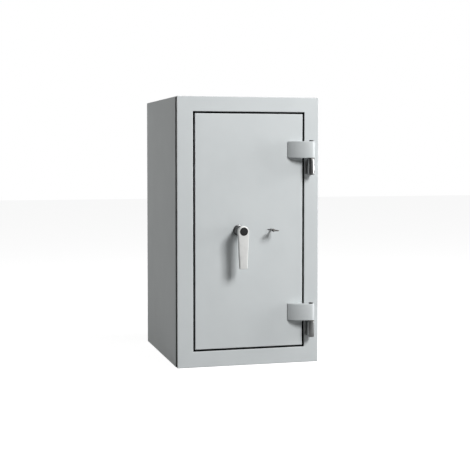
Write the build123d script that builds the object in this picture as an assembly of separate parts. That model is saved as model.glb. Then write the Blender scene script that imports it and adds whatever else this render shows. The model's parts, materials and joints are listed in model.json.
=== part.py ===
from build123d import *
import math
import os

# A free-standing, double-walled steel safe with a right-hung door, an external hinge pair,
# a lever handle that drives bolts on three sides, and a double-bitted key lock.
# Millimetres. X runs right along the front, Y runs into the safe, Z is up.
# The origin is the centre of the base, on the floor.

# ---------------------------------------------------------------- casing
casing_w = 545.0            # overall width
casing_d = 600.0            # overall depth
casing_h = 1000.0           # overall height
skin_t = 3.0                # outer skin, base plate and rear plate
bend_r = 3.0                # outside bend of the skin
liner_t = 2.0               # inner liner
rear_wall_t = 60.0          # rear wall, skin to liner
lock_border = 60.0          # frame face beside the door, lock side
hinge_border = 56.0         # the same, hinge side
top_border = 55.0           # frame face above the door
foot_border = 59.0          # frame face below the door
frame_lip_d = 30.0          # frame depth that stands clear of the skin
frame_t = 4.0               # frame plate
face_t = 5.0                # frame face plate
rebate_d = 16.0             # depth of the recess that the door plate closes into
edge_r = 2.5                # rounding of frame and door edges
jamb_in_lock = 9.5          # how far the inner jamb stands in, lock side
jamb_in_hinge = 16.5        # the same, hinge side
jamb_in_top = 18.0          # the same, top
jamb_in_foot = 14.0         # the same, bottom
strip_w = 26.0              # black joint strip behind each front corner
strip_t = 1.5
seal_w = 9.0                # foot of the door seal, on the shoulder of the recess
seal_t = 4.0
seal_leg_t = 1.0            # its leg, along the wall of the recess
anchor_hole_r = 7.0         # anchor bolt holes
anchor_span_x = 300.0
anchor_front_in = 12.0      # front base holes behind the frame
anchor_rear_in = 40.0       # rear base holes in front of the liner's back
rear_anchor_drop = 200.0    # rear anchor holes below the top of the safe
sleeve_t = 3.0
socket_gap = 1.0            # bolt to the passage and socket it runs in
socket_end_gap = 2.0        # thrown bolt to the end of its socket
socket_wall = 2.0
plug_hole_r = 8.5           # wider mouth of each sleeve, for its plug
plug_clear = 0.1            # round the plug's stem
plug_end_gap = 1.0          # from the stem to the bottom of the mouth
plug_flange_r = 12.0
plug_flange_t = 2.0
plug_len = 12.0

# ---------------------------------------------------------------- shelves
shelf_count = 2
shelf_t = 1.5
shelf_lip_h = 25.0
shelf_side_gap = 2.0
shelf_front_gap = 22.0
shelf_back_gap = 2.0
rail_t = 6.0
rail_w = 20.0
rail_inset = 60.0
rail_end_gap = 17.0
peg_r = 3.0
peg_len = 14.0
peg_hole_pitch = 50.0

# ---------------------------------------------------------------- door
door_gap = 7.0              # gap round the door plate
door_t = 10.0               # door front plate
pan_t = 3.0                 # folded sides of the door
pan_gap_hinge = 4.0         # side of the door to the inner jamb, hinge side
pan_gap_end = 4.0           # the same, top and bottom
swing_clear = 5.0           # what the free edge keeps from the jamb as it swings
door_fill_t = 28.0
mount_plate_t = 4.0
cover_t = 2.0
cover_lip = 12.0
cover_lip_t = 3.0
cover_screw_r = 3.0
cover_screw_head_r = 6.0
cover_screw_head_h = 3.0
cover_screw_rim = 1.5
cover_screw_end = 2.0       # screw beyond the lip of the pan
cover_clear = 10.0          # bolt bar to rear cover
dog_r = 8.0                 # fixed dogs on the hinge side
dog_out = 16.0
dog_stem_r = 5.0
dog_stem_len = 14.0
dog_clear = 1.0             # round the space that a dog sweeps
dog_end_clear = 2.0         # beyond its tip
nose_chamfer = 2.0          # on bolts and dogs
dog_nut_t = 8.0
dog_nut_r = 9.0

# ---------------------------------------------------------------- hinges
hinge_in = 18.0             # hinge axis from the edge of the opening
barrel_r = 13.0
barrel_clear = 15.0         # barrel to the frame face
barrel_chamfer = 1.5
barrel_floor = 6.0          # foot of the barrel to the foot of the pin
pin_r = 8.0
pin_clear = 0.05
pin_chamfer = 1.0
pin_cap_gap = 1.0           # top of the pin to the cap
wing_h = 62.0
barrel_h = 62.0
washer_t = 1.7
washer_gap = 0.3
washer_in = 1.0             # washer inside the barrel's outline
wing_reach = 83.5           # hinge axis to the free end of the wing
wing_end_t = 4.0
wing_step_in = 2.0          # edge of the door plate to the step in the wing's back
hinge_low_z = 100.0         # foot of the lower barrel
hinge_high_drop = 290.0     # foot of the upper barrel, below the top of the safe
foot_w = 24.0
foot_low_in = 4.0           # weld foot above the barrel's foot
foot_high_in = 2.0          # and below its top
cap_proud = 4.5
cap_in = 10.0
cap_rim = 1.5

# ---------------------------------------------------------------- handle and boltwork
handle_x = -40.0
handle_z = 505.5
spindle_r = 6.0
spindle_clear = 0.05
spindle_hole_gap = 0.5      # in the door plate and the rosette
spindle_end = 4.0           # spindle beyond the pinion
clip_in = 0.5               # pinion to the clip
clip_t = 1.5
clip_deep = 1.0             # groove below the spindle's surface
clip_out = 3.0              # clip above it
rosette_r = 20.5
rosette_t = 6.0
rim_r = 1.5                 # rounded rims of rosette and lever
neck_r = 18.0
lever_gap = 0.5
grub_r = 2.5
grub_in = 10.0              # grub screw from the back of the neck
grub_sunk = 1.0
lever_head_r = 20.0
lever_tip_w = 28.0
lever_tip_r = 3.0           # corners of the tip
lever_len = 137.0           # axis to the tip
lever_t = 18.0
lever_out = 58.0            # back of the lever in front of the door
handle_cap_r = 15.0
handle_cap_t = 2.5
bush_wall = 3.0
bush_flange_r = 12.0
bush_flange_t = 2.0
gear_module = 2.0
pinion_teeth = 18
tooth_addendum = 0.9 * gear_module
tooth_dedendum = 1.15 * gear_module
tooth_backlash = 0.3        # taken off the thickness of every tooth
pressure_angle = math.radians(20)
pinion_wide = 1.0           # pinion beyond the racks at either side
mesh_half = 11.0            # how far the mesh reaches each side of the pinion's centre
handle_turn = math.radians(90)
bolt_r = 10.0
bolt_hole_clear = 0.3
bolt_proud = 2.0            # tip beyond the door side when drawn back
bolt_end_inset = 103.0      # outer side bolts from the ends of the door pan
layer_t = 5.0               # bar and rod thickness
layer_gap = 2.0
bar_clear = 1.0             # bar to mounting plate
bar_leg = 32.0
bar_leg_out = 2.0           # bar beyond the bolts, towards the rear cover
bar_wall_gap = 4.7          # bar to the side of the door pan when thrown
bar_end = 30.0              # bar beyond the outer bolts
bar_screw_r = 4.0
bar_screw_in = 20.0
bar_screw_head_r = 7.0
bar_screw_head_h = 7.0
rivet_r = 4.0
rivet_head_r = 6.0
rivet_head_h = 1.5
rivet_in = 20.0             # from the outer face of the bar
rivet_edge = 8.0            # from the edges of the drive rack
rack_bar_gap = 2.0          # drive rack to the web of the bar
rack_end = 18.0             # drive rack beyond its teeth
run_gap = 1.0               # drive rack to the thrown lock bolt
run_h = 15.0
tab_gap = 1.5               # tab to the drawn lock bolt
rod_w = 14.0
rod_lap = 25.0
rod_end = 4.0               # rod beyond its teeth
end_bolt_len = 65.0
slot_clear = 0.3
flat_over = 1.0             # milled flat beyond the bolt's side
post_left_in = 45.0         # left post from the outer face of the bar
post_right_in = 14.0        # right post beyond the spindle
post_drop = 22.0            # posts below the drive rack's top edge
post_r = 5.0
post_head_r = 8.0
post_head_t = 3.0
guide_t = 12.0
guide_clear = 0.5
guide_side = 7.0            # guide block beyond the rod's side
guide_back = 4.0            # and beyond its back
guide_near_top = 97.0       # inner guides, from the spindle
guide_near_foot = 103.0
guide_far = 60.0            # outer guides, from the back of the end bolts

# ---------------------------------------------------------------- lock
lock_x = 87.0
lock_case_half_w = 33.0
lock_case_below = 39.0      # key axis to the foot of the case
lock_case_above = 65.0
lock_case_t = 3.0
lock_case_d = 26.0
lock_cover_t = 2.5
lock_screw_r = 2.0
lock_screw_len = 6.0
lock_screw_head_r = 3.5
lock_screw_head_h = 2.0
lock_screw_inset = 5.5
curtain_r = 10.0
curtain_clear = 0.05
curtain_pivot_r = 4.0
curtain_end_gap = 0.5       # curtain to the lock's cover
curtain_floor = 3.5         # back of the key's slot in the curtain
key_shank_r = 4.0
key_bit_half = 14.0
key_bit_t = 3.4
key_bit_len = 18.0
key_cuts = [0.0, 2.4, 0.8, 3.0, 1.6, 0.0]   # steps of the bits, from the bow to the tip
key_exposed = 30.0          # bow in front of the door
key_shank_in = 4.0          # shank into the bow
key_bow_w = 30.0
key_bow_d = 28.0
key_bow_t = 4.0
key_bow_r = 9.0             # corners of the bow
key_ring_half_w = 7.0       # hole for a key ring
key_ring_in = 5.0           # from the bow's outer edge
key_ring_out = 12.0         # from its inner edge
key_clear = 0.3
key_hole_gap = 0.5          # round the shank
key_slot_gap = 0.7          # beyond the bits
key_tip_gap = 0.5           # key to the end of its slot
key_tube_gap = 0.6          # guide tube outside the keyway
key_tube_t = 1.8
key_sweep_gap = 1.5         # round the turning bits
lock_bolt_w = 16.0
lock_bolt_t = 8.0
lock_bolt_throw = 10.0
lock_bolt_gap = 0.5         # bolt to the slot in the case
lock_bolt_front = 2.0       # bolt to the front of the case
lock_plate_side = 8.5       # lock bolt's frame beside the sweep of the bits
lock_plate_top = 17.5
lock_plate_foot = 5.0
lock_tab_clear = 1.0
lever_count = 4
lock_lever_t = 2.0
lock_lever_gap = 0.4
lock_lever_front = 1.0      # lock bolt to the first lever
lever_side = 7.5            # lever beside the sweep of the bits
lever_foot = 5.5
lever_eye_side = 5.0        # lever beyond its pivot
lever_eye_top = 7.0
lever_pivot_out = 22.0      # pivot from the key's axis
lever_pivot_up = 50.0
lock_lever_lift = math.radians(4)
stump_r = 2.5
stump_up = 8.0              # stump above the sweep of the bits
stump_proud = 1.5           # stump beyond the levers
gate_side = 2.0             # gate beside the stump
gate_end = 4.5              # and beyond it
lever_post_r = 3.0

# ================================================================ derived places
x_out = casing_w / 2
y_front = -casing_d / 2
y_rear = casing_d / 2
y_skin = y_front + frame_lip_d
y_shoulder = y_front + rebate_d
open_x0 = lock_border - x_out
open_x1 = x_out - hinge_border
open_z0 = foot_border
open_z1 = casing_h - top_border
jamb_x0 = open_x0 + jamb_in_lock
jamb_x1 = open_x1 - jamb_in_hinge
jamb_z0 = open_z0 + jamb_in_foot
jamb_z1 = open_z1 - jamb_in_top
y_liner_back = y_rear - rear_wall_t

hinge_x = open_x1 + hinge_in
hinge_y = y_front - barrel_r - barrel_clear

door_x0 = open_x0 + door_gap
door_x1 = open_x1 - door_gap
door_z0 = open_z0 + door_gap
door_z1 = open_z1 - door_gap
y_plate = y_front + door_t
y_fill = y_plate + door_fill_t
y_mount = y_fill + mount_plate_t

# Boltwork layers, from the mounting plate towards the inside of the safe.
y_bar = y_mount + bar_clear
y_rack = y_bar + layer_t
y_top_rod = y_rack + layer_t + layer_gap
y_bottom_rod = y_top_rod + layer_t + layer_gap
y_bolt = y_bottom_rod + layer_gap
y_pinion0 = y_rack - pinion_wide
y_pinion1 = y_bottom_rod + layer_t + pinion_wide
y_cover = y_bolt + bolt_r + bar_leg_out + cover_clear
y_pan_back = y_cover + cover_t
y_frame_back = y_pan_back

# The corner at the back of the free edge swings on a circle about the hinge axis, and
# passes the inner jamb at the shoulder with swing_clear to spare.
swing_x = hinge_x - jamb_x0 - swing_clear
pan_reach = math.sqrt(swing_x**2 + (y_shoulder - hinge_y) ** 2 - (y_pan_back - hinge_y) ** 2)
pan_x0 = hinge_x - pan_reach
pan_x1 = jamb_x1 - pan_gap_hinge
pan_z0 = jamb_z0 + pan_gap_end
pan_z1 = jamb_z1 - pan_gap_end

pitch_r = gear_module * pinion_teeth / 2
tooth_pitch = math.pi * gear_module
tooth_t = tooth_pitch / 2 - tooth_backlash
bolt_travel = pitch_r * handle_turn
pinion_phase = math.radians(-90)

bar_x0 = pan_x0 + pan_t + bar_wall_gap + bolt_travel
side_bolt_z = [pan_z0 + bolt_end_inset, (pan_z0 + pan_z1) / 2, pan_z1 - bolt_end_inset]
side_tip_x = pan_x0 - bolt_proud
top_rod_x1 = handle_x - pitch_r - tooth_dedendum
top_rod_x = top_rod_x1 - rod_w / 2
bottom_rod_x0 = handle_x + pitch_r + tooth_dedendum
bottom_rod_x = bottom_rod_x0 + rod_w / 2
top_tip_z = pan_z1 + bolt_proud
bottom_tip_z = pan_z0 - bolt_proud
rack_top_z = handle_z - pitch_r - tooth_dedendum

lock_z = handle_z
lock_case_x0 = lock_x - lock_case_half_w
lock_case_x1 = lock_x + lock_case_half_w
lock_case_z0 = lock_z - lock_case_below
lock_case_z1 = lock_z + lock_case_above
y_case_front = y_mount + lock_case_t
y_case_back = y_mount + lock_case_d
y_curtain_back = y_case_back - curtain_end_gap
y_key_tip = y_curtain_back - curtain_floor
y_lock_bolt = y_case_front + lock_bolt_front
y_levers = y_lock_bolt + lock_bolt_t + lock_lever_front
lock_tip_z = lock_case_z0 - bolt_proud
tab_w = bolt_travel - lock_bolt_w - 2 * lock_tab_clear
tab_x0 = lock_x + lock_bolt_w / 2 + lock_tab_clear
tab_top_z = lock_tip_z - tab_gap
run_top_z = lock_tip_z - lock_bolt_throw - run_gap
key_hole_r = key_shank_r + key_hole_gap
key_slot_half = key_bit_half + key_slot_gap
key_slot_h = key_bit_t + 2 * key_clear
key_tube_r = key_slot_half + key_tube_gap
key_sweep_r = key_bit_half + key_sweep_gap
stump_z = lock_z + key_sweep_r + lock_bolt_throw + stump_up
lever_pivot_x = lock_x + lever_pivot_out
lever_pivot_z = lock_z + lever_pivot_up

hinge_feet_z = [hinge_low_z, casing_h - hinge_high_drop]
over = 1.0                  # how far a cutter runs past the face it cuts


# ================================================================ shape helpers
def block(x0, x1, y0, y1, z0, z1):
    """A box between two corners."""
    centre = Pos((x0 + x1) / 2, (y0 + y1) / 2, (z0 + z1) / 2)
    return centre * Box(x1 - x0, y1 - y0, z1 - z0)


def rod_x(r, x0, x1, y, z):
    """A cylinder along X."""
    return Pos((x0 + x1) / 2, y, z) * Rot(0, 90, 0) * Cylinder(r, x1 - x0)


def rod_y(r, x, y0, y1, z):
    """A cylinder along Y."""
    return Pos(x, (y0 + y1) / 2, z) * Rot(90, 0, 0) * Cylinder(r, y1 - y0)


def rod_z(r, x, y, z0, z1):
    """A cylinder along Z."""
    return Pos(x, y, (z0 + z1) / 2) * Cylinder(r, z1 - z0)


def plate_xz(points, y0, y1):
    """A plate with a straight-sided outline in XZ, from y0 back to y1."""
    outline = make_face(Polyline(*[(x, y0, z) for x, z in points], close=True))
    return extrude(outline, amount=y1 - y0, dir=(0, 1, 0))


def slot_xz(x0, x1, z, half_h, y0, y1):
    """A round-ended slot along X, cut from y0 to y1."""
    middle = block(x0, x1, y0, y1, z - half_h, z + half_h)
    return middle + rod_y(half_h, x0, y0, y1, z) + rod_y(half_h, x1, y0, y1, z)


def save(name, *pieces):
    """Writes one node: a single solid, or a group of like solids."""
    shape = pieces[0] if len(pieces) == 1 else Compound(children=list(pieces))
    export_step(shape, f"parts/{name}.step")


# ================================================================ casing
def frame_hollow():
    """The space inside the front frame's folded section, open at the back."""
    side = x_out - skin_t - frame_t
    outer = block(-side, side, y_front + face_t, y_frame_back,
                  skin_t + frame_t, casing_h - skin_t - frame_t)
    mouth = block(open_x0 - frame_t, open_x1 + frame_t, y_front, y_shoulder + frame_t,
                  open_z0 - frame_t, open_z1 + frame_t)
    throat = block(jamb_x0 - frame_t, jamb_x1 + frame_t, y_front, y_frame_back,
                   jamb_z0 - frame_t, jamb_z1 + frame_t)
    return outer - mouth - throat


def dog_passage(grow):
    """The space that the fixed dogs sweep as they leave the hinge jamb, one box per dog."""
    reach = pan_x1 + dog_out - hinge_x
    to_jamb = jamb_x1 - hinge_x
    front_y = y_bolt - dog_r - hinge_y
    radius = math.hypot(reach, front_y)
    y_low = hinge_y + math.sqrt(radius**2 - to_jamb**2) - dog_clear
    half = dog_r + dog_clear + grow
    x_end = pan_x1 + dog_out + dog_end_clear + grow
    return [block(jamb_x1 - over, x_end, y_low - grow, y_bolt + half, z - half, z + half)
            for z in side_bolt_z]


def bolt_holes(r, extra):
    """Round passages in the inner jamb for the side, top and bottom bolts, extra long."""
    reach = bolt_travel + extra
    holes = [rod_x(r, side_tip_x - reach, jamb_x0 + over, y_bolt, z) for z in side_bolt_z]
    holes.append(rod_z(r, top_rod_x, y_bolt, jamb_z1 - over, top_tip_z + reach))
    holes.append(rod_z(r, bottom_rod_x, y_bolt, bottom_tip_z - reach, jamb_z0 + over))
    return holes


def front_frame():
    """The folded steel frame: face, recess, shoulder and inner jamb."""
    face = block(-x_out, x_out, y_front, y_skin, 0, casing_h)
    face -= block(open_x0, open_x1, y_front, y_skin, open_z0, open_z1)
    front_edges = face.edges().filter_by_position(Axis.Y, y_front, y_front)
    corner_edges = face.edges().filter_by(Axis.Y).filter_by_position(Axis.X, x_out, x_out)
    corner_edges += face.edges().filter_by(Axis.Y).filter_by_position(Axis.X, -x_out, -x_out)
    face = fillet(front_edges + corner_edges, min(edge_r, frame_t))
    inner = x_out - skin_t
    back = block(-inner, inner, y_shoulder, y_frame_back, skin_t, casing_h - skin_t)
    back -= block(jamb_x0, jamb_x1, y_shoulder, y_frame_back, jamb_z0, jamb_z1)
    shoulder_room = block(open_x0, open_x1, y_front, y_shoulder, open_z0, open_z1)
    frame = face + (back - shoulder_room)
    y_strip = y_skin - strip_w
    for side in (-1, 1):
        x_low, x_high = sorted((side * inner, side * (x_out + over)))
        frame -= block(x_low, x_high, y_strip, y_skin, 0, casing_h - skin_t)
    frame -= frame_hollow()
    for hole in bolt_holes(bolt_r + socket_gap, socket_end_gap) + dog_passage(0):
        frame -= hole
    return frame


def bolt_sockets():
    """Cups behind the jamb that keep the filling out of the bolts' way."""
    y = y_bolt
    outer_r = bolt_r + socket_gap + socket_wall
    end = bolt_travel + socket_end_gap + socket_wall
    x_end = side_tip_x - end
    cups = [rod_x(outer_r, x_end, jamb_x0 - frame_t, y, z) for z in side_bolt_z]
    cups.append(rod_z(outer_r, top_rod_x, y, jamb_z1 + frame_t, top_tip_z + end))
    cups.append(rod_z(outer_r, bottom_rod_x, y, bottom_tip_z - end, jamb_z0 - frame_t))
    holes = bolt_holes(bolt_r + socket_gap, socket_end_gap)
    return [cup - hole for cup, hole in zip(cups, holes)]


def dog_sockets():
    """Boxes behind the hinge jamb for the fixed dogs."""
    behind = block(jamb_x1 + frame_t, x_out, y_front, y_frame_back, 0, casing_h)
    outer = [box & behind for box in dog_passage(socket_wall)]
    return [box - space for box, space in zip(outer, dog_passage(0))]


def anchor_places():
    """Centres of the base holes (x, y) and of the rear holes (x, z)."""
    half_x = anchor_span_x / 2
    rows = (y_frame_back + anchor_front_in, y_liner_back - anchor_rear_in)
    base = [(x, y) for x in (-half_x, half_x) for y in rows]
    rear = [(x, casing_h - rear_anchor_drop) for x in (-half_x, half_x)]
    return base, rear


def anchor_rods(r, base_z, rear_y):
    """Rods through the anchor places, over the given stretches of the two walls."""
    base, rear = anchor_places()
    rods = [rod_z(r, x, y, *base_z) for x, y in base]
    return rods + [rod_y(r, x, *rear_y, z) for x, z in rear]


def liner_wrap():
    """The inner liner: a box section from the frame to the back, floor drilled for anchors."""
    t = liner_t
    wrap = block(jamb_x0 - t, jamb_x1 + t, y_frame_back, y_liner_back - t,
                 jamb_z0 - t, jamb_z1 + t)
    wrap -= block(jamb_x0, jamb_x1, y_frame_back, y_liner_back - t, jamb_z0, jamb_z1)
    for hole in anchor_rods(plug_hole_r, (0, jamb_z0 + over), (y_liner_back, y_rear)):
        wrap -= hole
    return wrap


def liner_back():
    """The back of the liner, with two anchor holes."""
    t = liner_t
    back = block(jamb_x0 - t, jamb_x1 + t, y_liner_back - t, y_liner_back,
                 jamb_z0 - t, jamb_z1 + t)
    for hole in anchor_rods(plug_hole_r, (0, skin_t), (y_liner_back - 2 * t, y_rear)):
        back -= hole
    return back


def casing_wrap():
    """The outer skin: both sides and the top, folded from one sheet."""
    wrap = block(-x_out, x_out, y_skin, y_rear, 0, casing_h)
    corners = wrap.edges().filter_by(Axis.Y).filter_by_position(Axis.Z, casing_h, casing_h)
    wrap = fillet(corners, bend_r)
    inner = x_out - skin_t
    return wrap - block(-inner, inner, y_skin, y_rear, 0, casing_h - skin_t)


def base_plate():
    """The base, between the sides of the skin."""
    inner = x_out - skin_t
    plate = block(-inner, inner, y_skin, y_rear, 0, skin_t)
    for hole in anchor_rods(anchor_hole_r, (-over, skin_t + over), (y_rear, y_rear + over)):
        plate -= hole
    return plate


def rear_plate():
    """The rear skin, between the sides, the top and the base."""
    inner = x_out - skin_t
    plate = block(-inner, inner, y_rear - skin_t, y_rear, skin_t, casing_h - skin_t)
    for hole in anchor_rods(anchor_hole_r, (-over, 0), (y_rear - skin_t - over, y_rear + over)):
        plate -= hole
    return plate


def anchor_sleeves():
    """Tubes that carry the anchor bolts through the filling, each with a wider mouth."""
    base_z = (skin_t, jamb_z0 - liner_t)
    rear_y = (y_liner_back, y_rear - skin_t)
    outer = anchor_rods(anchor_hole_r + sleeve_t, base_z, rear_y)
    inner = anchor_rods(anchor_hole_r, base_z, rear_y)
    deep = plug_len + plug_end_gap
    front = y_liner_back - liner_t
    mouths = anchor_rods(plug_hole_r, (jamb_z0 - deep, jamb_z0), (front, front + deep))
    return [tube - hole - mouth for tube, hole, mouth in zip(outer, inner, mouths)]


def anchor_plugs():
    """Push-in plugs that close the anchor holes inside the safe."""
    front = y_liner_back - liner_t
    stems = anchor_rods(plug_hole_r - plug_clear, (jamb_z0 - plug_len, jamb_z0),
                        (front, front + plug_len))
    flanges = anchor_rods(plug_flange_r, (jamb_z0, jamb_z0 + plug_flange_t),
                          (front - plug_flange_t, front))
    return [stem + flange for stem, flange in zip(stems, flanges)]


def wall_filling():
    """The barrier filling between skin and liner, and inside the frame."""
    inner = x_out - skin_t
    fill = block(-inner, inner, y_frame_back, y_rear - skin_t, skin_t, casing_h - skin_t)
    t = liner_t
    fill -= block(jamb_x0 - t, jamb_x1 + t, y_frame_back, y_liner_back,
                  jamb_z0 - t, jamb_z1 + t)
    fill += frame_hollow()
    cups = bolt_holes(bolt_r + socket_gap + socket_wall, socket_end_gap + socket_wall)
    sleeves = anchor_rods(anchor_hole_r + sleeve_t, (0, jamb_z0), (y_liner_back, y_rear))
    for room in cups + dog_passage(socket_wall) + sleeves:
        fill -= room
    return fill


def joint_strips():
    """Black strips in the joint between frame and skin, one on each side."""
    inner = x_out - skin_t
    low = block(-inner - strip_t, -inner, y_skin - strip_w, y_skin, 0, casing_h - skin_t)
    high = block(inner, inner + strip_t, y_skin - strip_w, y_skin, 0, casing_h - skin_t)
    return [low, high]


def door_seal():
    """An L-section seal round the recess: a leg up its wall, and a foot on its shoulder."""
    y_leg = y_front + min(edge_r, frame_t)
    y_foot = y_shoulder - seal_t
    t = seal_leg_t
    w = seal_w
    seal = block(open_x0, open_x1, y_leg, y_shoulder, open_z0, open_z1)
    seal -= block(open_x0 + t, open_x1 - t, y_leg, y_foot, open_z0 + t, open_z1 - t)
    return seal - block(open_x0 + w, open_x1 - w, y_foot, y_shoulder, open_z0 + w, open_z1 - w)


# ================================================================ shelves
rail_y = [y_frame_back + rail_inset, y_liner_back - liner_t - rail_inset]
rail_z0 = jamb_z0 + rail_end_gap
rail_z1 = jamb_z1 - rail_end_gap
rail_holes = int((rail_z1 - rail_z0 - peg_hole_pitch) // peg_hole_pitch) + 1
shelf_step = (rail_holes + 1) // (shelf_count + 1)
hole_z = [rail_z0 + peg_hole_pitch * (i + 0.5) for i in range(rail_holes)]
shelf_hole = [shelf_step * (i + 1) - 1 for i in range(shelf_count)]
rail_faces = [(jamb_x0, 1), (jamb_x1, -1)]


def shelf_rails():
    """Four drilled rails, two on each side of the liner."""
    rails = []
    for x_wall, side in rail_faces:
        x_low, x_high = sorted((x_wall, x_wall + side * rail_t))
        for y in rail_y:
            rail = block(x_low, x_high, y - rail_w / 2, y + rail_w / 2, rail_z0, rail_z1)
            for z in hole_z:
                rail -= rod_x(peg_r, x_low, x_high, y, z)
            rails.append(rail)
    return rails


def shelf_pegs():
    """Four pegs under each shelf, pushed into the rails."""
    pegs = []
    for index in shelf_hole:
        for x_wall, side in rail_faces:
            x_low, x_high = sorted((x_wall, x_wall + side * (rail_t + peg_len)))
            for y in rail_y:
                pegs.append(rod_x(peg_r, x_low, x_high, y, hole_z[index]))
    return pegs


def shelf(index):
    """A folded shelf with a lip down at the front and back, resting on its pegs."""
    x0 = jamb_x0 + rail_t + shelf_side_gap
    x1 = jamb_x1 - rail_t - shelf_side_gap
    y0 = y_frame_back + shelf_front_gap
    y1 = y_liner_back - liner_t - shelf_back_gap
    z = hole_z[shelf_hole[index]] + peg_r
    top = block(x0, x1, y0, y1, z, z + shelf_t)
    front = block(x0, x1, y0, y0 + shelf_t, z + shelf_t - shelf_lip_h, z)
    back = block(x0, x1, y1 - shelf_t, y1, z + shelf_t - shelf_lip_h, z)
    return top + front + back


# ================================================================ hinges
def hinge_barrel(z0):
    """The fixed barrel on the frame: a turned body with a welded foot."""
    barrel = rod_z(barrel_r, hinge_x, hinge_y, z0, z0 + barrel_h)
    ends = barrel.edges().filter_by_position(Axis.Z, z0, z0)
    barrel = chamfer(ends, barrel_chamfer)
    half = foot_w / 2
    barrel += block(hinge_x - half, hinge_x + half, hinge_y, y_front,
                    z0 + foot_low_in, z0 + barrel_h - foot_high_in)
    return barrel - rod_z(pin_r, hinge_x, hinge_y, z0 + barrel_floor, z0 + barrel_h)


def hinge_pin(z0):
    """The pin, pressed into the fixed barrel."""
    top = z0 + barrel_h + washer_t + washer_gap + wing_h - cap_in - pin_cap_gap
    pin = rod_z(pin_r, hinge_x, hinge_y, z0 + barrel_floor, top)
    return chamfer(pin.edges().filter_by_position(Axis.Z, top, top), pin_chamfer)


def hinge_washer(z0):
    """A bronze washer that the wing turns on."""
    low = z0 + barrel_h
    washer = rod_z(barrel_r - washer_in, hinge_x, hinge_y, low, low + washer_t)
    return washer - rod_z(pin_r, hinge_x, hinge_y, low, low + washer_t)


def hinge_wing(z0):
    """The wing on the door: a curved front that runs into the barrel round the pin."""
    low = z0 + barrel_h + washer_t + washer_gap
    x_end = hinge_x - wing_reach
    y_end = y_front - wing_end_t
    y_tangent = hinge_y - barrel_r
    rise = y_end - y_tangent
    curve_r = (wing_reach**2 + rise**2) / (2 * rise)
    half_turn = math.asin(wing_reach / curve_r) / 2
    middle = (hinge_x - curve_r * math.sin(half_turn),
              y_tangent + curve_r * (1 - math.cos(half_turn)), low)
    x_step = door_x1 - wing_step_in
    y_relief = hinge_y + barrel_r
    outline = [
        Line((x_end, y_front, low), (x_end, y_end, low)),
        ThreePointArc((x_end, y_end, low), middle, (hinge_x, y_tangent, low)),
        ThreePointArc((hinge_x, y_tangent, low), (hinge_x + barrel_r, hinge_y, low),
                      (hinge_x, y_relief, low)),
        Line((hinge_x, y_relief, low), (x_step, y_relief, low)),
        Line((x_step, y_relief, low), (x_step, y_front, low)),
        Line((x_step, y_front, low), (x_end, y_front, low)),
    ]
    wing = extrude(make_face(outline), amount=wing_h, dir=(0, 0, 1))
    return wing - rod_z(pin_r + pin_clear, hinge_x, hinge_y, low - over, low + wing_h + over)


def pin_cap(z0):
    """A black cap pushed into the top of the wing, over the pin."""
    top = z0 + barrel_h + washer_t + washer_gap + wing_h
    cap = rod_z(pin_r + pin_clear, hinge_x, hinge_y, top - cap_in, top + cap_proud)
    return fillet(cap.edges().filter_by_position(Axis.Z, top + cap_proud, top + cap_proud), cap_rim)


# ================================================================ door
def keyhole(y0, y1):
    """The keyway: a round hole for the shank and a slot for both bits."""
    slot = block(lock_x - key_slot_half, lock_x + key_slot_half, y0, y1,
                 lock_z - key_slot_h / 2, lock_z + key_slot_h / 2)
    return slot + rod_y(key_hole_r, lock_x, y0, y1, lock_z)


def door_front_plate():
    """The armoured door plate, flush with the frame face."""
    plate = block(door_x0, door_x1, y_front, y_plate, door_z0, door_z1)
    plate = fillet(plate.edges().filter_by_position(Axis.Y, y_front, y_front), edge_r)
    plate -= rod_y(spindle_r + spindle_hole_gap, handle_x, y_front, y_plate, handle_z)
    return plate - keyhole(y_front, y_plate)


def door_pan():
    """The folded sides of the door, with a lip at the back and holes for bolts and dogs."""
    lip_y = y_cover - cover_lip_t
    pan = block(pan_x0, pan_x1, y_plate, y_cover, pan_z0, pan_z1)
    t = pan_t
    pan -= block(pan_x0 + t, pan_x1 - t, y_plate, lip_y, pan_z0 + t, pan_z1 - t)
    t = pan_t + cover_lip
    pan -= block(pan_x0 + t, pan_x1 - t, lip_y, y_cover, pan_z0 + t, pan_z1 - t)
    r = bolt_r + bolt_hole_clear
    for z in side_bolt_z:
        pan -= rod_x(r, pan_x0 - over, pan_x0 + pan_t + over, y_bolt, z)
        pan -= rod_x(dog_stem_r, pan_x1 - pan_t - over, pan_x1 + over, y_bolt, z)
    pan -= rod_z(r, top_rod_x, y_bolt, pan_z1 - pan_t - over, pan_z1 + over)
    pan -= rod_z(r, bottom_rod_x, y_bolt, pan_z0 - over, pan_z0 + pan_t + over)
    for x, z in cover_screw_places():
        pan -= rod_y(cover_screw_r, x, lip_y - over, y_cover, z)
    return pan


def cover_screw_places():
    """Screws along the two upright edges of the rear cover and in its ends."""
    inset = pan_t + cover_lip / 2
    rows = 4
    step = (pan_z1 - pan_z0 - 2 * inset) / (rows - 1)
    return [(x, pan_z0 + inset + step * i) for x in (pan_x0 + inset, pan_x1 - inset)
            for i in range(rows)]


def door_rear_cover():
    """The sheet that closes the boltwork in."""
    cover = block(pan_x0, pan_x1, y_cover, y_pan_back, pan_z0, pan_z1)
    for x, z in cover_screw_places():
        cover -= rod_y(cover_screw_r, x, y_cover, y_pan_back, z)
    return cover


def cover_screws():
    """Pan-head screws that hold the rear cover."""
    screws = []
    for x, z in cover_screw_places():
        y_end = y_pan_back + cover_screw_head_h
        shank = rod_y(cover_screw_r, x, y_cover - cover_lip_t - cover_screw_end, y_pan_back, z)
        head = rod_y(cover_screw_head_r, x, y_pan_back, y_end, z)
        rim = head.edges().filter_by_position(Axis.Y, y_end, y_end)
        screws.append(shank + fillet(rim, cover_screw_rim))
    return screws


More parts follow.
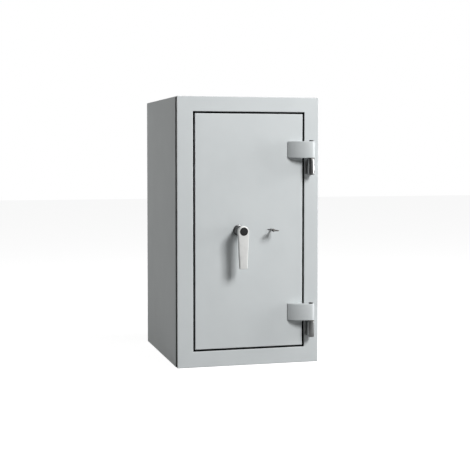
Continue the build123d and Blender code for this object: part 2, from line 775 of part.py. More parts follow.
def inside_door(y0, y1):
    """A slab that fills the door pan between its sides."""
    t = pan_t
    return block(pan_x0 + t, pan_x1 - t, y0, y1, pan_z0 + t, pan_z1 - t)


def door_filling():
    """The barrier filling behind the door plate."""
    fill = inside_door(y_plate, y_fill)
    fill -= rod_y(spindle_r + spindle_clear + bush_wall, handle_x, y_plate, y_fill, handle_z)
    return fill - rod_y(key_tube_r + key_tube_t, lock_x, y_plate, y_fill, lock_z)


def bar_posts_x():
    """Guide posts of the drive rack, spread so that each slot stays inside the rack."""
    return [bar_x0 + post_left_in, handle_x + post_right_in]


post_z = rack_top_z - post_drop


def mounting_plate():
    """The plate that carries the lock and the boltwork."""
    plate = inside_door(y_fill, y_mount)
    plate -= rod_y(spindle_r + spindle_clear + bush_wall, handle_x, y_fill, y_mount, handle_z)
    plate -= rod_y(key_tube_r, lock_x, y_fill, y_mount, lock_z)
    for x in bar_posts_x():
        plate -= rod_y(post_r, x, y_fill, y_mount, post_z)
    return plate


def key_guide_tube():
    """The tube that keeps the filling out of the keyway."""
    tube = rod_y(key_tube_r + key_tube_t, lock_x, y_plate, y_fill, lock_z)
    return tube - rod_y(key_tube_r, lock_x, y_plate, y_fill, lock_z)


def spindle_bush():
    """The bronze bush that the handle spindle turns in, flanged at the mounting plate."""
    bore = spindle_r + spindle_clear
    bush = rod_y(bore + bush_wall, handle_x, y_plate, y_mount, handle_z)
    y_flange = y_mount + bush_flange_t
    bush += rod_y(bush_flange_r, handle_x, y_mount, y_flange, handle_z)
    return bush - rod_y(bore, handle_x, y_plate, y_flange, handle_z)


def fixed_dogs():
    """Dogs on the hinge side, which hold the door in if the hinges are cut off."""
    dogs = []
    for z in side_bolt_z:
        tip = pan_x1 + dog_out
        head = rod_x(dog_r, pan_x1, tip, y_bolt, z)
        head = chamfer(head.edges().filter_by_position(Axis.X, tip, tip), nose_chamfer)
        dogs.append(head + rod_x(dog_stem_r, pan_x1 - dog_stem_len, pan_x1, y_bolt, z))
    return dogs


def dog_nuts():
    """Hexagon nuts behind the dogs."""
    nuts = []
    x1 = pan_x1 - pan_t
    x0 = x1 - dog_nut_t
    for z in side_bolt_z:
        outline = Plane(origin=(x0, y_bolt, z), z_dir=(1, 0, 0)) * RegularPolygon(dog_nut_r, 6)
        nuts.append(extrude(outline, amount=dog_nut_t) - rod_x(dog_stem_r, x0, x1, y_bolt, z))
    return nuts


# ================================================================ handle
def handle_rosette():
    """The rosette on the door plate."""
    y0 = y_front - rosette_t
    disc = rod_y(rosette_r, handle_x, y0, y_front, handle_z)
    disc = fillet(disc.edges().filter_by_position(Axis.Y, y0, y0), rim_r)
    return disc - rod_y(spindle_r + spindle_hole_gap, handle_x, y0, y_front, handle_z)


y_lever_back = y_front - lever_out
y_lever_front = y_lever_back - lever_t


def handle_neck():
    """The neck between rosette and lever."""
    y1 = y_front - rosette_t - lever_gap
    neck = rod_y(neck_r, handle_x, y_lever_back, y1, handle_z)
    neck -= rod_y(spindle_r, handle_x, y_lever_back, y1, handle_z)
    return neck - rod_z(grub_r, handle_x, y1 - grub_in, handle_z - neck_r, handle_z - spindle_r)


def handle_grub_screw():
    """The grub screw that pins the neck to the spindle."""
    y1 = y_front - rosette_t - lever_gap
    z0 = handle_z - neck_r + grub_sunk
    return rod_z(grub_r, handle_x, y1 - grub_in, z0, handle_z - spindle_r)


def handle_lever():
    """The lever: a round head that tapers, along tangent sides, to a square tip."""
    r = lever_head_r
    tip_half = lever_tip_w / 2
    # The side runs from the tip corner to its point of tangency on the head.
    far = math.hypot(tip_half, lever_len)
    bearing = math.atan2(-lever_len, tip_half) + math.acos(r / far)
    tx = r * math.cos(bearing)
    tz = r * math.sin(bearing)
    y = y_lever_front

    def at(x, z):
        return (handle_x + x, y, handle_z + z)

    outline = [
        ThreePointArc(at(-tx, tz), at(0, r), at(tx, tz)),
        Line(at(tx, tz), at(tip_half, -lever_len)),
        Line(at(tip_half, -lever_len), at(-tip_half, -lever_len)),
        Line(at(-tip_half, -lever_len), at(-tx, tz)),
    ]
    lever = extrude(make_face(outline), amount=lever_t, dir=(0, 1, 0))
    tip_edges = lever.edges().filter_by(Axis.Y).sort_by(Axis.Z)[:2]
    lever = fillet(tip_edges, lever_tip_r)
    front = lever.edges().filter_by_position(Axis.Y, y_lever_front, y_lever_front)
    lever = fillet(front, rim_r)
    lever -= rod_y(spindle_r, handle_x, y_lever_front, y_lever_back, handle_z)
    y_cap = y_lever_front + handle_cap_t
    return lever - rod_y(handle_cap_r, handle_x, y_lever_front - over, y_cap, handle_z)


def handle_cap():
    """The black disc set into the head of the lever."""
    y_cap = y_lever_front + handle_cap_t
    return rod_y(handle_cap_r, handle_x, y_lever_front, y_cap, handle_z)


def clip_groove(r):
    """The stretch of the spindle groove, as a disc of radius r."""
    y0 = y_pinion1 + clip_in
    return rod_y(r, handle_x, y0, y0 + clip_t, handle_z)


def handle_spindle():
    """The spindle, from the lever head to the pinion, grooved for its clip."""
    y1 = y_pinion1 + spindle_end
    spindle = rod_y(spindle_r, handle_x, y_lever_front + handle_cap_t, y1, handle_z)
    return spindle - (clip_groove(spindle_r + over) - clip_groove(spindle_r - clip_deep))


def spindle_clip():
    """The retaining clip behind the pinion."""
    return clip_groove(spindle_r + clip_out) - clip_groove(spindle_r - clip_deep)


def involute(angle):
    """The involute function of a pressure angle."""
    return math.tan(angle) - angle


def bolt_pinion():
    """A spur pinion with involute teeth, one of them centred on pinion_phase."""
    base_r = pitch_r * math.cos(pressure_angle)
    root_r = pitch_r - tooth_dedendum
    tip_r = pitch_r + tooth_addendum
    flank_steps = 6
    radii = [base_r + (tip_r - base_r) * i / flank_steps for i in range(flank_steps + 1)]
    half_at_pitch = tooth_t / 2 / pitch_r
    halves = [half_at_pitch + involute(pressure_angle) - involute(math.acos(base_r / r))
              for r in radii]
    flank = [(root_r, halves[0])] + list(zip(radii, halves))
    points = []
    for tooth in range(pinion_teeth):
        centre = pinion_phase + 2 * math.pi * tooth / pinion_teeth
        for r, half in flank:
            points.append((r, centre - half))
        for r, half in reversed(flank):
            points.append((r, centre + half))
    outline = [(handle_x + r * math.cos(a), handle_z + r * math.sin(a)) for r, a in points]
    gear = plate_xz(outline, y_pinion0, y_pinion1)
    return gear - rod_y(spindle_r, handle_x, y_pinion0, y_pinion1, handle_z)


# ================================================================ boltwork
def rack_teeth(angle, start, end, y0):
    """Rack teeth beside the pinion. angle is where the rack lies, as seen from the pinion,
    and start and end bound the teeth along the pitch line, towards a growing angle."""
    tooth_angle = 2 * math.pi / pinion_teeth
    first_space = ((pinion_phase - angle) % tooth_angle) * pitch_r
    outward = (math.cos(angle), math.sin(angle))
    along = (-math.sin(angle), math.cos(angle))
    slope = math.tan(pressure_angle)
    half_tip = tooth_t / 2 - tooth_addendum * slope
    half_root = tooth_t / 2 + tooth_dedendum * slope
    first = math.ceil((start - first_space) / tooth_pitch)
    last = math.floor((end - first_space) / tooth_pitch)
    teeth = []
    for index in range(first, last):
        middle = first_space + (index + 0.5) * tooth_pitch
        corners = [(middle - half_root, tooth_dedendum), (middle - half_tip, -tooth_addendum),
                   (middle + half_tip, -tooth_addendum), (middle + half_root, tooth_dedendum)]
        outline = []
        for s, depth in corners:
            reach = pitch_r + depth
            outline.append((handle_x + outward[0] * reach + along[0] * s,
                            handle_z + outward[1] * reach + along[1] * s))
        teeth.append(plate_xz(outline, y0, y0 + layer_t))
    return teeth


def joined(body, teeth):
    """A bar with its rack teeth."""
    for tooth in teeth:
        body += tooth
    return body


rivet_x = bar_x0 + rivet_in
rivet_z = [rack_top_z - rivet_edge, run_top_z - run_h + rivet_edge]
drive_x0 = bar_x0 + layer_t + rack_bar_gap
drive_x1 = handle_x + mesh_half + bolt_travel + rack_end


def side_bolt_bar():
    """The angle bar that carries the side bolts."""
    z0 = side_bolt_z[0] - bar_end
    z1 = side_bolt_z[-1] + bar_end
    leg = block(bar_x0, bar_x0 + bar_leg, y_bar, y_bar + layer_t, z0, z1)
    web = block(bar_x0, bar_x0 + layer_t, y_bar, y_bolt + bolt_r + bar_leg_out, z0, z1)
    bar = leg + web
    for z in side_bolt_z:
        bar -= rod_x(bar_screw_r, bar_x0, bar_x0 + layer_t, y_bolt, z)
    for z in rivet_z:
        bar -= rod_y(rivet_r, rivet_x, y_bar, y_bar + layer_t, z)
    return bar


def drive_rack():
    """The plate that runs under the pinion and carries the tab that the lock bolt stops."""
    low = run_top_z - run_h
    tab_x1 = tab_x0 + tab_w
    outline = [(drive_x0, low), (tab_x1, low), (tab_x1, tab_top_z), (tab_x0, tab_top_z),
               (tab_x0, run_top_z), (drive_x1, run_top_z), (drive_x1, rack_top_z),
               (drive_x0, rack_top_z)]
    plate = plate_xz(outline, y_rack, y_rack + layer_t)
    half = post_r + slot_clear
    for x in bar_posts_x():
        plate -= slot_xz(x, x + bolt_travel, post_z, half, y_rack, y_rack + layer_t)
    for z in rivet_z:
        plate -= rod_y(rivet_r, rivet_x, y_rack, y_rack + layer_t, z)
    return joined(plate, rack_teeth(math.radians(-90), -mesh_half, bolt_travel + mesh_half, y_rack))


def bar_rivets():
    """Rivets that join the drive rack to the bolt bar."""
    rivets = []
    y1 = y_rack + layer_t
    for z in rivet_z:
        shank = rod_y(rivet_r, rivet_x, y_bar, y1, z)
        rivets.append(shank + rod_y(rivet_head_r, rivet_x, y1, y1 + rivet_head_h, z))
    return rivets


def side_bolts():
    """Three round bolts, screwed to the bar from inside."""
    bolts = []
    for z in side_bolt_z:
        bolt = rod_x(bolt_r, side_tip_x, bar_x0, y_bolt, z)
        tip = bolt.edges().filter_by_position(Axis.X, side_tip_x, side_tip_x)
        thread = rod_x(bar_screw_r, bar_x0 - bar_screw_in, bar_x0, y_bolt, z)
        bolts.append(chamfer(tip, nose_chamfer) - thread)
    return bolts


def side_bolt_screws():
    """Screws that hold the side bolts to the bar."""
    x0 = bar_x0 - bar_screw_in
    x1 = bar_x0 + layer_t
    return [rod_x(bar_screw_r, x0, x1, y_bolt, z)
            + rod_x(bar_screw_head_r, x1, x1 + bar_screw_head_h, y_bolt, z)
            for z in side_bolt_z]


def bar_guide_posts():
    """Shouldered posts on the mounting plate that the drive rack slides on."""
    y1 = y_rack + layer_t + slot_clear
    return [rod_y(post_r, x, y_fill, y1, post_z)
            + rod_y(post_head_r, x, y1, y1 + post_head_t, post_z) for x in bar_posts_x()]


# Where the back of each end bolt lies.
top_lap_z = top_tip_z - end_bolt_len
bottom_lap_z = bottom_tip_z + end_bolt_len


def top_rod():
    """The rod that lifts the top bolt, with a rack on its side."""
    z0 = handle_z - bolt_travel - mesh_half
    rod = block(top_rod_x - rod_w / 2, top_rod_x1, y_top_rod, y_top_rod + layer_t,
                z0 - rod_end, top_lap_z + rod_lap)
    teeth = rack_teeth(math.radians(180), -mesh_half, bolt_travel + mesh_half, y_top_rod)
    return joined(rod, teeth)


def bottom_rod():
    """The rod that lowers the bottom bolt, with a rack on its side."""
    z1 = handle_z + bolt_travel + mesh_half
    rod = block(bottom_rod_x0, bottom_rod_x0 + rod_w, y_bottom_rod, y_bottom_rod + layer_t,
                bottom_lap_z - rod_lap, z1 + rod_end)
    teeth = rack_teeth(0.0, -mesh_half, bolt_travel + mesh_half, y_bottom_rod)
    return joined(rod, teeth)


def end_bolt(x, z_tip, z_back, y_flat0, y_flat1):
    """A round bolt from z_tip to z_back, with a flat milled at its back, where the rod is welded."""
    z0, z1 = sorted((z_tip, z_back))
    bolt = rod_z(bolt_r, x, y_bolt, z0, z1)
    bolt = chamfer(bolt.edges().filter_by_position(Axis.Z, z_tip, z_tip), nose_chamfer)
    f0, f1 = sorted((z_back, z_back + math.copysign(rod_lap, z_tip - z_back)))
    return bolt - block(x - bolt_r, x + bolt_r, y_flat0, y_flat1, f0, f1)


def top_bolt():
    """The top bolt, behind its rod."""
    y_flat = y_bolt - bolt_r - flat_over
    return end_bolt(top_rod_x, top_tip_z, top_lap_z, y_flat, y_top_rod + layer_t)


def bottom_bolt():
    """The bottom bolt, in front of its rod."""
    y_flat = y_bolt + bolt_r + flat_over
    return end_bolt(bottom_rod_x, bottom_tip_z, bottom_lap_z, y_bottom_rod, y_flat)


def rod_guides():
    """Guide blocks on the mounting plate, two for each rod."""
    top_places = (handle_z + guide_near_top, top_lap_z - guide_far)
    foot_places = (handle_z - guide_near_foot, bottom_lap_z + guide_far)
    spans = [(top_rod_x, y_top_rod, top_places), (bottom_rod_x, y_bottom_rod, foot_places)]
    guides = []
    for x, y, places in spans:
        outer = rod_w / 2 + guide_side
        inner = rod_w / 2 + guide_clear
        for z in places:
            guide = block(x - outer, x + outer, y_mount, y + layer_t + guide_back, z, z + guide_t)
            guide -= block(x - inner, x + inner, y - guide_clear, y + layer_t + guide_clear,
                           z, z + guide_t)
            guides.append(guide)
    return guides


# ================================================================ lock
def lock_case():
    """The case of the key lock, open at the back."""
    t = lock_case_t
    case = block(lock_case_x0, lock_case_x1, y_mount, y_case_back, lock_case_z0, lock_case_z1)
    case -= block(lock_case_x0 + t, lock_case_x1 - t, y_case_front, y_case_back,
                  lock_case_z0 + t, lock_case_z1 - t)
    case -= rod_y(curtain_r + curtain_clear, lock_x, y_mount, y_case_front, lock_z)
    case -= keyhole(y_mount, y_case_front)
    gap = lock_bolt_gap
    half = lock_bolt_w / 2 + gap
    return case - block(lock_x - half, lock_x + half, y_lock_bolt - gap,
                        y_lock_bolt + lock_bolt_t + gap, lock_case_z0, lock_case_z0 + t)


def lock_screw_places():
    """Screws of the lock cover, in the upper left and the lower corners."""
    inset = lock_screw_inset
    left = lock_case_x0 + inset
    right = lock_case_x1 - inset
    low = lock_case_z0 + inset
    return [(left, lock_case_z1 - inset), (left, low), (right, low)]


def lock_cover():
    """The cover of the key lock, bored for the curtain's pivot."""
    y1 = y_case_back + lock_cover_t
    cover = block(lock_case_x0, lock_case_x1, y_case_back, y1, lock_case_z0, lock_case_z1)
    cover -= rod_y(curtain_pivot_r + curtain_clear, lock_x, y_case_back, y1, lock_z)
    cover -= rod_y(lever_post_r, lever_pivot_x, y_case_back, y1, lever_pivot_z)
    for x, z in lock_screw_places():
        cover -= rod_y(lock_screw_r, x, y_case_back, y1, z)
    return cover


def lock_screws():
    """Screws through the cover into the corners of the case."""
    y1 = y_case_back + lock_cover_t
    return [rod_y(lock_screw_r, x, y_case_back - lock_screw_len, y1, z)
            + rod_y(lock_screw_head_r, x, y1, y1 + lock_screw_head_h, z)
            for x, z in lock_screw_places()]


def lever_post():
    """The post that the lock levers pivot on."""
    y1 = y_case_back + lock_cover_t
    return rod_y(lever_post_r, lever_pivot_x, y_case_front, y1, lever_pivot_z)


def lock_curtain():
    """The slotted rotor that the key turns."""
    y_slot = y_key_tip + key_tip_gap
    rotor = rod_y(curtain_r, lock_x, y_mount, y_curtain_back, lock_z)
    rotor -= rod_y(key_shank_r + curtain_clear, lock_x, y_mount, y_slot, lock_z)
    rotor -= block(lock_x - curtain_r, lock_x + curtain_r, y_mount, y_slot,
                   lock_z - key_slot_h / 2, lock_z + key_slot_h / 2)
    pivot_y = y_case_back + lock_cover_t
    return rotor + rod_y(curtain_pivot_r, lock_x, y_curtain_back, pivot_y, lock_z)


def key():
    """The double-bitted key: bow, shank and two stepped bits."""
    y_bow = y_front - key_exposed
    shank = rod_y(key_shank_r, lock_x, y_bow - key_shank_in, y_key_tip, lock_z)
    half_w = key_bow_w / 2
    bow = block(lock_x - half_w, lock_x + half_w, y_bow - key_bow_d, y_bow,
                lock_z - key_bow_t / 2, lock_z + key_bow_t / 2)
    bow = fillet(bow.edges().filter_by(Axis.Z), key_bow_r)
    bow -= block(lock_x - key_ring_half_w, lock_x + key_ring_half_w,
                 y_bow - key_bow_d + key_ring_in, y_bow - key_ring_out,
                 lock_z - key_bow_t, lock_z + key_bow_t)
    blade = shank + bow
    step_len = key_bit_len / len(key_cuts)
    for index, cut in enumerate(key_cuts):
        y0 = y_key_tip - key_bit_len + index * step_len
        half = key_bit_half - cut
        blade += block(lock_x - half, lock_x + half, y0, y0 + step_len,
                       lock_z - key_bit_t / 2, lock_z + key_bit_t / 2)
    return blade


def lock_bolt():
    """The lock bolt: a windowed plate round the key, a tail below and the lever stump."""
    y0 = y_lock_bolt
    y1 = y_lock_bolt + lock_bolt_t
    half = key_sweep_r + lock_plate_side
    top = lock_z + key_sweep_r + lock_bolt_throw + lock_plate_top
    foot = lock_z - key_sweep_r - lock_plate_foot
    plate = block(lock_x - half, lock_x + half, y0, y1, foot, top)
    plate -= block(lock_x - key_sweep_r, lock_x + key_sweep_r, y0, y1,
                   lock_z - key_sweep_r, lock_z + key_sweep_r + lock_bolt_throw)
    tail_half = lock_bolt_w / 2
    plate += block(lock_x - tail_half, lock_x + tail_half, y0, y1, lock_tip_z, foot)
    stack = lever_count * (lock_lever_t + lock_lever_gap) + stump_proud
    return plate + rod_y(stump_r, lock_x, y1, y1 + stack, stump_z)


def lock_levers():
    """The pack of levers, each windowed round the key and gated round the stump."""
    swing = lock_lever_lift
    shift_x = (lever_pivot_z - lock_z) * math.sin(swing)
    shift_z = (lever_pivot_x - lock_x) * math.sin(swing)
    r = key_sweep_r
    x0 = lock_x - r - lever_side
    x1 = lever_pivot_x + lever_eye_side
    z1 = lever_pivot_z + lever_eye_top
    levers = []
    for index in range(lever_count):
        y0 = y_levers + index * (lock_lever_t + lock_lever_gap)
        y1 = y0 + lock_lever_t
        lever = block(x0, x1, y0, y1, lock_z - r - shift_z - lever_foot, z1)
        lever -= block(lock_x - r, lock_x + r + shift_x, y0, y1,
                       lock_z - r - shift_z, lock_z + r)
        gate = stump_r + gate_side
        lever -= block(lock_x - gate, lock_x + gate, y0, y1,
                       stump_z - lock_bolt_throw - gate_end, stump_z + gate_end)
        lever -= rod_y(lever_post_r + pin_clear, lever_pivot_x, y0, y1, lever_pivot_z)
        levers.append(lever)
    return levers


# ================================================================ writing the nodes
os.makedirs("parts", exist_ok=True)

save("front_frame", front_frame())
save("casing_wrap", casing_wrap())
save("base_plate", base_plate())
save("rear_plate", rear_plate())
save("wall_filling", wall_filling())
save("liner_wrap", liner_wrap())
save("liner_back", liner_back())
save("casing_joint_strips", *joint_strips())
save("door_seal", door_seal())
save("bolt_sockets", *bolt_sockets())
save("dog_sockets", *dog_sockets())
save("anchor_sleeves", *anchor_sleeves())
save("anchor_plugs", *anchor_plugs())
save("shelf_rails", *shelf_rails())
save("shelf_pegs", *shelf_pegs())
for number in range(shelf_count):
    save(f"shelf_{number + 1}", shelf(number))

save("hinge_barrels", *[hinge_barrel(z) for z in hinge_feet_z])
save("hinge_pins", *[hinge_pin(z) for z in hinge_feet_z])
save("hinge_washers", *[hinge_washer(z) for z in hinge_feet_z])
save("pin_caps", *[pin_cap(z) for z in hinge_feet_z])
save("lower_hinge_wing", hinge_wing(hinge_feet_z[0]))
save("upper_hinge_wing", hinge_wing(hinge_feet_z[1]))

save("door_front_plate", door_front_plate())
save("door_pan", door_pan())
save("door_filling", door_filling())
save("mounting_plate", mounting_plate())
save("door_rear_cover", door_rear_cover())
save("cover_screws", *cover_screws())
save("fixed_dogs", *fixed_dogs())
save("dog_nuts", *dog_nuts())
save("key_guide_tube", key_guide_tube())
save("spindle_bush", spindle_bush())
save("bar_guide_posts", *bar_guide_posts())
save("rod_guides", *rod_guides())

save("handle_rosette", handle_rosette())
save("handle_neck", handle_neck())
save("handle_grub_screw", handle_grub_screw())
save("handle_lever", handle_lever())
save("handle_cap", handle_cap())
save("handle_spindle", handle_spindle())
save("spindle_clip", spindle_clip())
save("bolt_pinion", bolt_pinion())

save("side_bolt_bar", side_bolt_bar())
save("drive_rack", drive_rack())
save("bar_rivets", *bar_rivets())
save("side_bolts", *side_bolts())
save("side_bolt_screws", *side_bolt_screws())
save("top_rod", top_rod())
save("top_bolt", top_bolt())
save("bottom_rod", bottom_rod())
save("bottom_bolt", bottom_bolt())

save("lock_case", lock_case())
save("lock_cover", lock_cover())
save("lock_screws", *lock_screws())
save("lever_post", lever_post())
save("lock_curtain", lock_curtain())
save("key", key())
save("lock_bolt", lock_bolt())
save("lock_levers", *lock_levers())
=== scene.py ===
import json
import math

import bmesh
import bpy
import numpy as np
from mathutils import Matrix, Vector


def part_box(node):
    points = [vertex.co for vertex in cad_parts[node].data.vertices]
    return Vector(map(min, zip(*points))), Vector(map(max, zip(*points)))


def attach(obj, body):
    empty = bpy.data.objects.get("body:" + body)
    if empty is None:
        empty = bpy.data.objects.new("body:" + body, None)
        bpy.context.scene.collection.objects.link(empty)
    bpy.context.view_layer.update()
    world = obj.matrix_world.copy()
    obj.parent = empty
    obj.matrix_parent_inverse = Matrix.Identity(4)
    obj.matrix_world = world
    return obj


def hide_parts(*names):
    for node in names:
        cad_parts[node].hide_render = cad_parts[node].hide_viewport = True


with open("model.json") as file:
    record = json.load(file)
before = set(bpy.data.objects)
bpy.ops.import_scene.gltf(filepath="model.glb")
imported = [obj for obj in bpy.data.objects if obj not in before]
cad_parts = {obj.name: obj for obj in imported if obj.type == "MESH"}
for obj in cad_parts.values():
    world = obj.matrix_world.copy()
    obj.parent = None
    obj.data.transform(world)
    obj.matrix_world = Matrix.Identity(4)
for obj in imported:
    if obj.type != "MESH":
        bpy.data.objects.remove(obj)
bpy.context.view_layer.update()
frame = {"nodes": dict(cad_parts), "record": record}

# ================================================================ camera and studio
# The safe stands on a pale studio floor with a white surround. The camera is a little left
# of the door and at four fifths of the safe's height, so the lock side shows as a dark strip.
camera_place = Vector((-1.0848, -4.126, 0.794))
camera_heading = 0.2633         # to the right of straight ahead, in radians
camera_dip = 0.0443             # below level, in radians
camera_lens = 81.99             # millimetres, on a 36 mm wide sensor
camera_drop = -0.0745           # the frame's middle below the camera's axis, in frame widths

camera_data = bpy.data.cameras.new("camera")
camera_data.lens = camera_lens
camera_data.sensor_width = 36.0
camera_data.shift_y = camera_drop
camera_data.clip_end = 60.0
camera = bpy.data.objects.new("camera", camera_data)
bpy.context.scene.collection.objects.link(camera)
camera.location = camera_place
sight = Vector((math.sin(camera_heading) * math.cos(camera_dip),
                math.cos(camera_heading) * math.cos(camera_dip), -math.sin(camera_dip)))
camera.rotation_euler = sight.to_track_quat("-Z", "Y").to_euler()
bpy.context.scene.camera = camera
bpy.context.scene.view_settings.view_transform = "Standard"


def soft_light(name, place, aim, width, height, power, colour=(1.0, 1.0, 1.0)):
    """A rectangular soft box at a place, turned towards a point."""
    lamp = bpy.data.lights.new(name, "AREA")
    lamp.shape = "RECTANGLE"
    lamp.size = width
    lamp.size_y = height
    lamp.energy = power
    lamp.color = colour
    box = bpy.data.objects.new(name, lamp)
    bpy.context.scene.collection.objects.link(box)
    box.location = Vector(place)
    box.rotation_euler = (Vector(aim) - box.location).to_track_quat("-Z", "Y").to_euler()


soft_light("key_light", (2.30, -4.75, 3.62), (0.0, -0.3, 0.45), 1.9, 1.9, 338.0)
soft_light("right_light", (3.0, -0.75, 1.0), (0.25, -0.3, 0.5), 0.6, 1.6, 60.0)
soft_light("top_light", (0.3, -0.5, 3.2), (0.1, -0.3, 0.5), 1.2, 1.2, 12.0)
soft_light("left_light", (-3.0, 1.0, 1.2), (-0.27, 0.0, 0.5), 1.6, 1.6, 35.0,
           (1.0, 0.985, 0.97))

world = bpy.data.worlds.new("studio")
bpy.context.scene.world = world
world.use_nodes = True
surround = world.node_tree.nodes["Background"]
surround.inputs["Color"].default_value = (1.0, 1.0, 1.0, 1.0)
# The surround shows white, and lights the safe at surround_light of that.
surround_light = 0.03
ray_kind = world.node_tree.nodes.new("ShaderNodeLightPath")
strength = world.node_tree.nodes.new("ShaderNodeMapRange")
strength.inputs["To Min"].default_value = surround_light
strength.inputs["To Max"].default_value = 1.0
world.node_tree.links.new(ray_kind.outputs["Is Camera Ray"], strength.inputs["Value"])
world.node_tree.links.new(strength.outputs["Result"], surround.inputs["Strength"])


class Wire:
    """A shader socket in an expression: each operator adds a Math node to its tree."""

    def __init__(self, tree, socket):
        self.tree = tree
        self.socket = socket

    def node(self, kind, settings, values, out=0):
        """Adds a node of any kind, sets its settings, then its sockets, and gives one output."""
        made = self.tree.nodes.new(kind)
        for name, value in settings.items():
            if name == "stops":
                ramp = made.color_ramp
                while len(ramp.elements) < len(value):
                    ramp.elements.new(0.5)
                for stop, (position, colour) in zip(ramp.elements, value):
                    stop.position = position
                    stop.color = colour
            else:
                setattr(made, name, value)
        for name, value in values.items():
            if isinstance(value, Wire):
                self.tree.links.new(value.socket, made.inputs[name])
            else:
                made.inputs[name].default_value = value
        return Wire(self.tree, made.outputs[out])

    def math(self, operation, *values):
        return self.node("ShaderNodeMath", {"operation": operation}, dict(enumerate(values)))

    def __add__(self, other):
        return self.math("ADD", self, other)

    def __radd__(self, other):
        return self.math("ADD", other, self)

    def __mul__(self, other):
        return self.math("MULTIPLY", self, other)

    def __rmul__(self, other):
        return self.math("MULTIPLY", other, self)

    def noise(self, scale, detail=2.0, roughness=0.5):
        """Noise read at this vector, about 0.5 on average."""
        return self.node("ShaderNodeTexNoise", {},
                         {"Vector": self, "Scale": scale, "Detail": detail, "Roughness": roughness})

    def stretched(self, x, y, z):
        """This vector with its three parts multiplied, so that a pattern runs along the least."""
        return self.node("ShaderNodeVectorMath", {"operation": "MULTIPLY"}, {0: self, 1: (x, y, z)})

    def spread(self, low, high, to_low=0.0, to_high=1.0):
        """Takes values between low and high to values between to_low and to_high, clamped."""
        return self.node("ShaderNodeMapRange", {},
                         {"Value": self, "From Min": low, "From Max": high,
                          "To Min": to_low, "To Max": to_high})

    def tint(self, colour_0, colour_1):
        """A colour between two, with this value as the share of the second."""
        return self.node("ShaderNodeMix", {"data_type": "RGBA"},
                         {0: self, 6: (*colour_0, 1.0), 7: (*colour_1, 1.0)}, out=2)

    def bump(self, height):
        """A normal bent by this value, which stands for that height in metres."""
        return self.node("ShaderNodeBump", {},
                         {"Height": self, "Distance": height, "Strength": 1.0})


def new_finish(name, constants):
    """A material with its shader's fixed values set. Gives it, its shader, and coordinates."""
    material = bpy.data.materials.new(name)
    material.use_nodes = True
    shader = material.node_tree.nodes["Principled BSDF"]
    for socket, value in constants.items():
        shader.inputs[socket].default_value = value
    place = material.node_tree.nodes.new("ShaderNodeTexCoord").outputs["Object"]
    return material, shader, Wire(material.node_tree, place)


def feed(shader, wires):
    """Links wires to the shader's sockets."""
    for socket, wire in wires.items():
        wire.tree.links.new(wire.socket, shader.inputs[socket])


def floor_finish():
    """White studio floor paper, with a faint grain. It is lit through from below, so that it
    shows white, while the safe gets only the share that its lit surface sends back."""
    glow_strength = 0.94
    paper_grey = 0.3
    material, shader, place = new_finish("studio_floor", {"Roughness": 0.9})
    grain = place.noise(60.0, 3.0).spread(0.3, 0.7)
    feed(shader, {"Base Color": grain.tint((0.24, 0.24, 0.24), (0.26, 0.26, 0.26))})
    glow = place.node("ShaderNodeEmission", {},
                      {"Color": grain.tint((0.97, 0.97, 0.97), (1.0, 1.0, 1.0)),
                       "Strength": glow_strength})
    seen = place.node("ShaderNodeLightPath", {}, {})
    paper = place.node("ShaderNodeBsdfDiffuse", {},
                       {"Color": (paper_grey, paper_grey, paper_grey, 1.0)})
    lit = place.node("ShaderNodeAddShader", {}, {0: glow, 1: paper})
    both = place.node("ShaderNodeMixShader", {}, {"Fac": seen, 2: lit})
    tree = material.node_tree
    tree.links.new(shader.outputs["BSDF"], both.socket.node.inputs[1])
    tree.links.new(both.socket, tree.nodes["Material Output"].inputs["Surface"])
    return material


def floor_sheet():
    """A flat square grid under the safe."""
    reach = 14.0
    bpy.ops.mesh.primitive_grid_add(x_subdivisions=8, y_subdivisions=8, size=2 * reach)
    sheet = bpy.context.object
    sheet.name = "studio_floor"
    sheet.data.materials.append(floor_finish())


floor_sheet()


def wear(material, *nodes):
    """Gives CAD nodes a material."""
    for name in nodes:
        for holder in frame["nodes"][name].material_slots:
            holder.material = material


# ================================================================ casing
# The outer skin is 3 mm steel folded over both sides and the top. The front frame is folded
# plate, welded to it, and base and back are let in. All are powder coated together in a
# light grey with a fine, hard grain.
coat_grey = (0.585, 0.615, 0.622)
coat_grey_deep = (0.555, 0.585, 0.593)


def powder_coat(name, light, deep, grain=1.0):
    """Textured powder coat: orange peel of two sizes, slight clouding, semi-matt."""
    material, shader, place = new_finish(name, {"Specular IOR Level": 0.45})
    cloud = place.noise(9.0, 3.0).spread(0.35, 0.65)
    speck = place.noise(900.0, 1.0).spread(0.3, 0.7)
    peel = place.noise(420.0, 2.0, 0.6)
    swell = place.noise(120.0, 1.0)
    shade = (cloud * 0.6 + speck * 0.4).tint(light, deep)
    relief = (peel * 0.7 + swell * 0.3) * grain
    feed(shader, {"Base Color": shade, "Roughness": 0.42 + speck * 0.12,
                  "Normal": relief.bump(0.00018)})
    return material


coat = powder_coat("grey_powder_coat", coat_grey, coat_grey_deep)
wear(coat, "front_frame", "casing_wrap", "rear_plate", "base_plate")


# ================================================================ joint strips
# A black strip closes the joint between frame and skin behind each front corner. It is
# extruded rubber, pushed in from the side. Its shape is made further down, with the seal's.
def black_rubber(name):
    """Matt black rubber with a faint bloom."""
    material, shader, place = new_finish(name, {"Specular IOR Level": 0.3})
    bloom = place.noise(35.0, 3.0).spread(0.4, 0.7)
    feed(shader, {"Base Color": bloom.tint((0.006, 0.006, 0.006), (0.014, 0.014, 0.014)),
                  "Roughness": 0.7 + bloom * 0.15,
                  "Normal": place.noise(600.0).bump(0.0001)})
    return material


rubber = black_rubber("black_rubber")


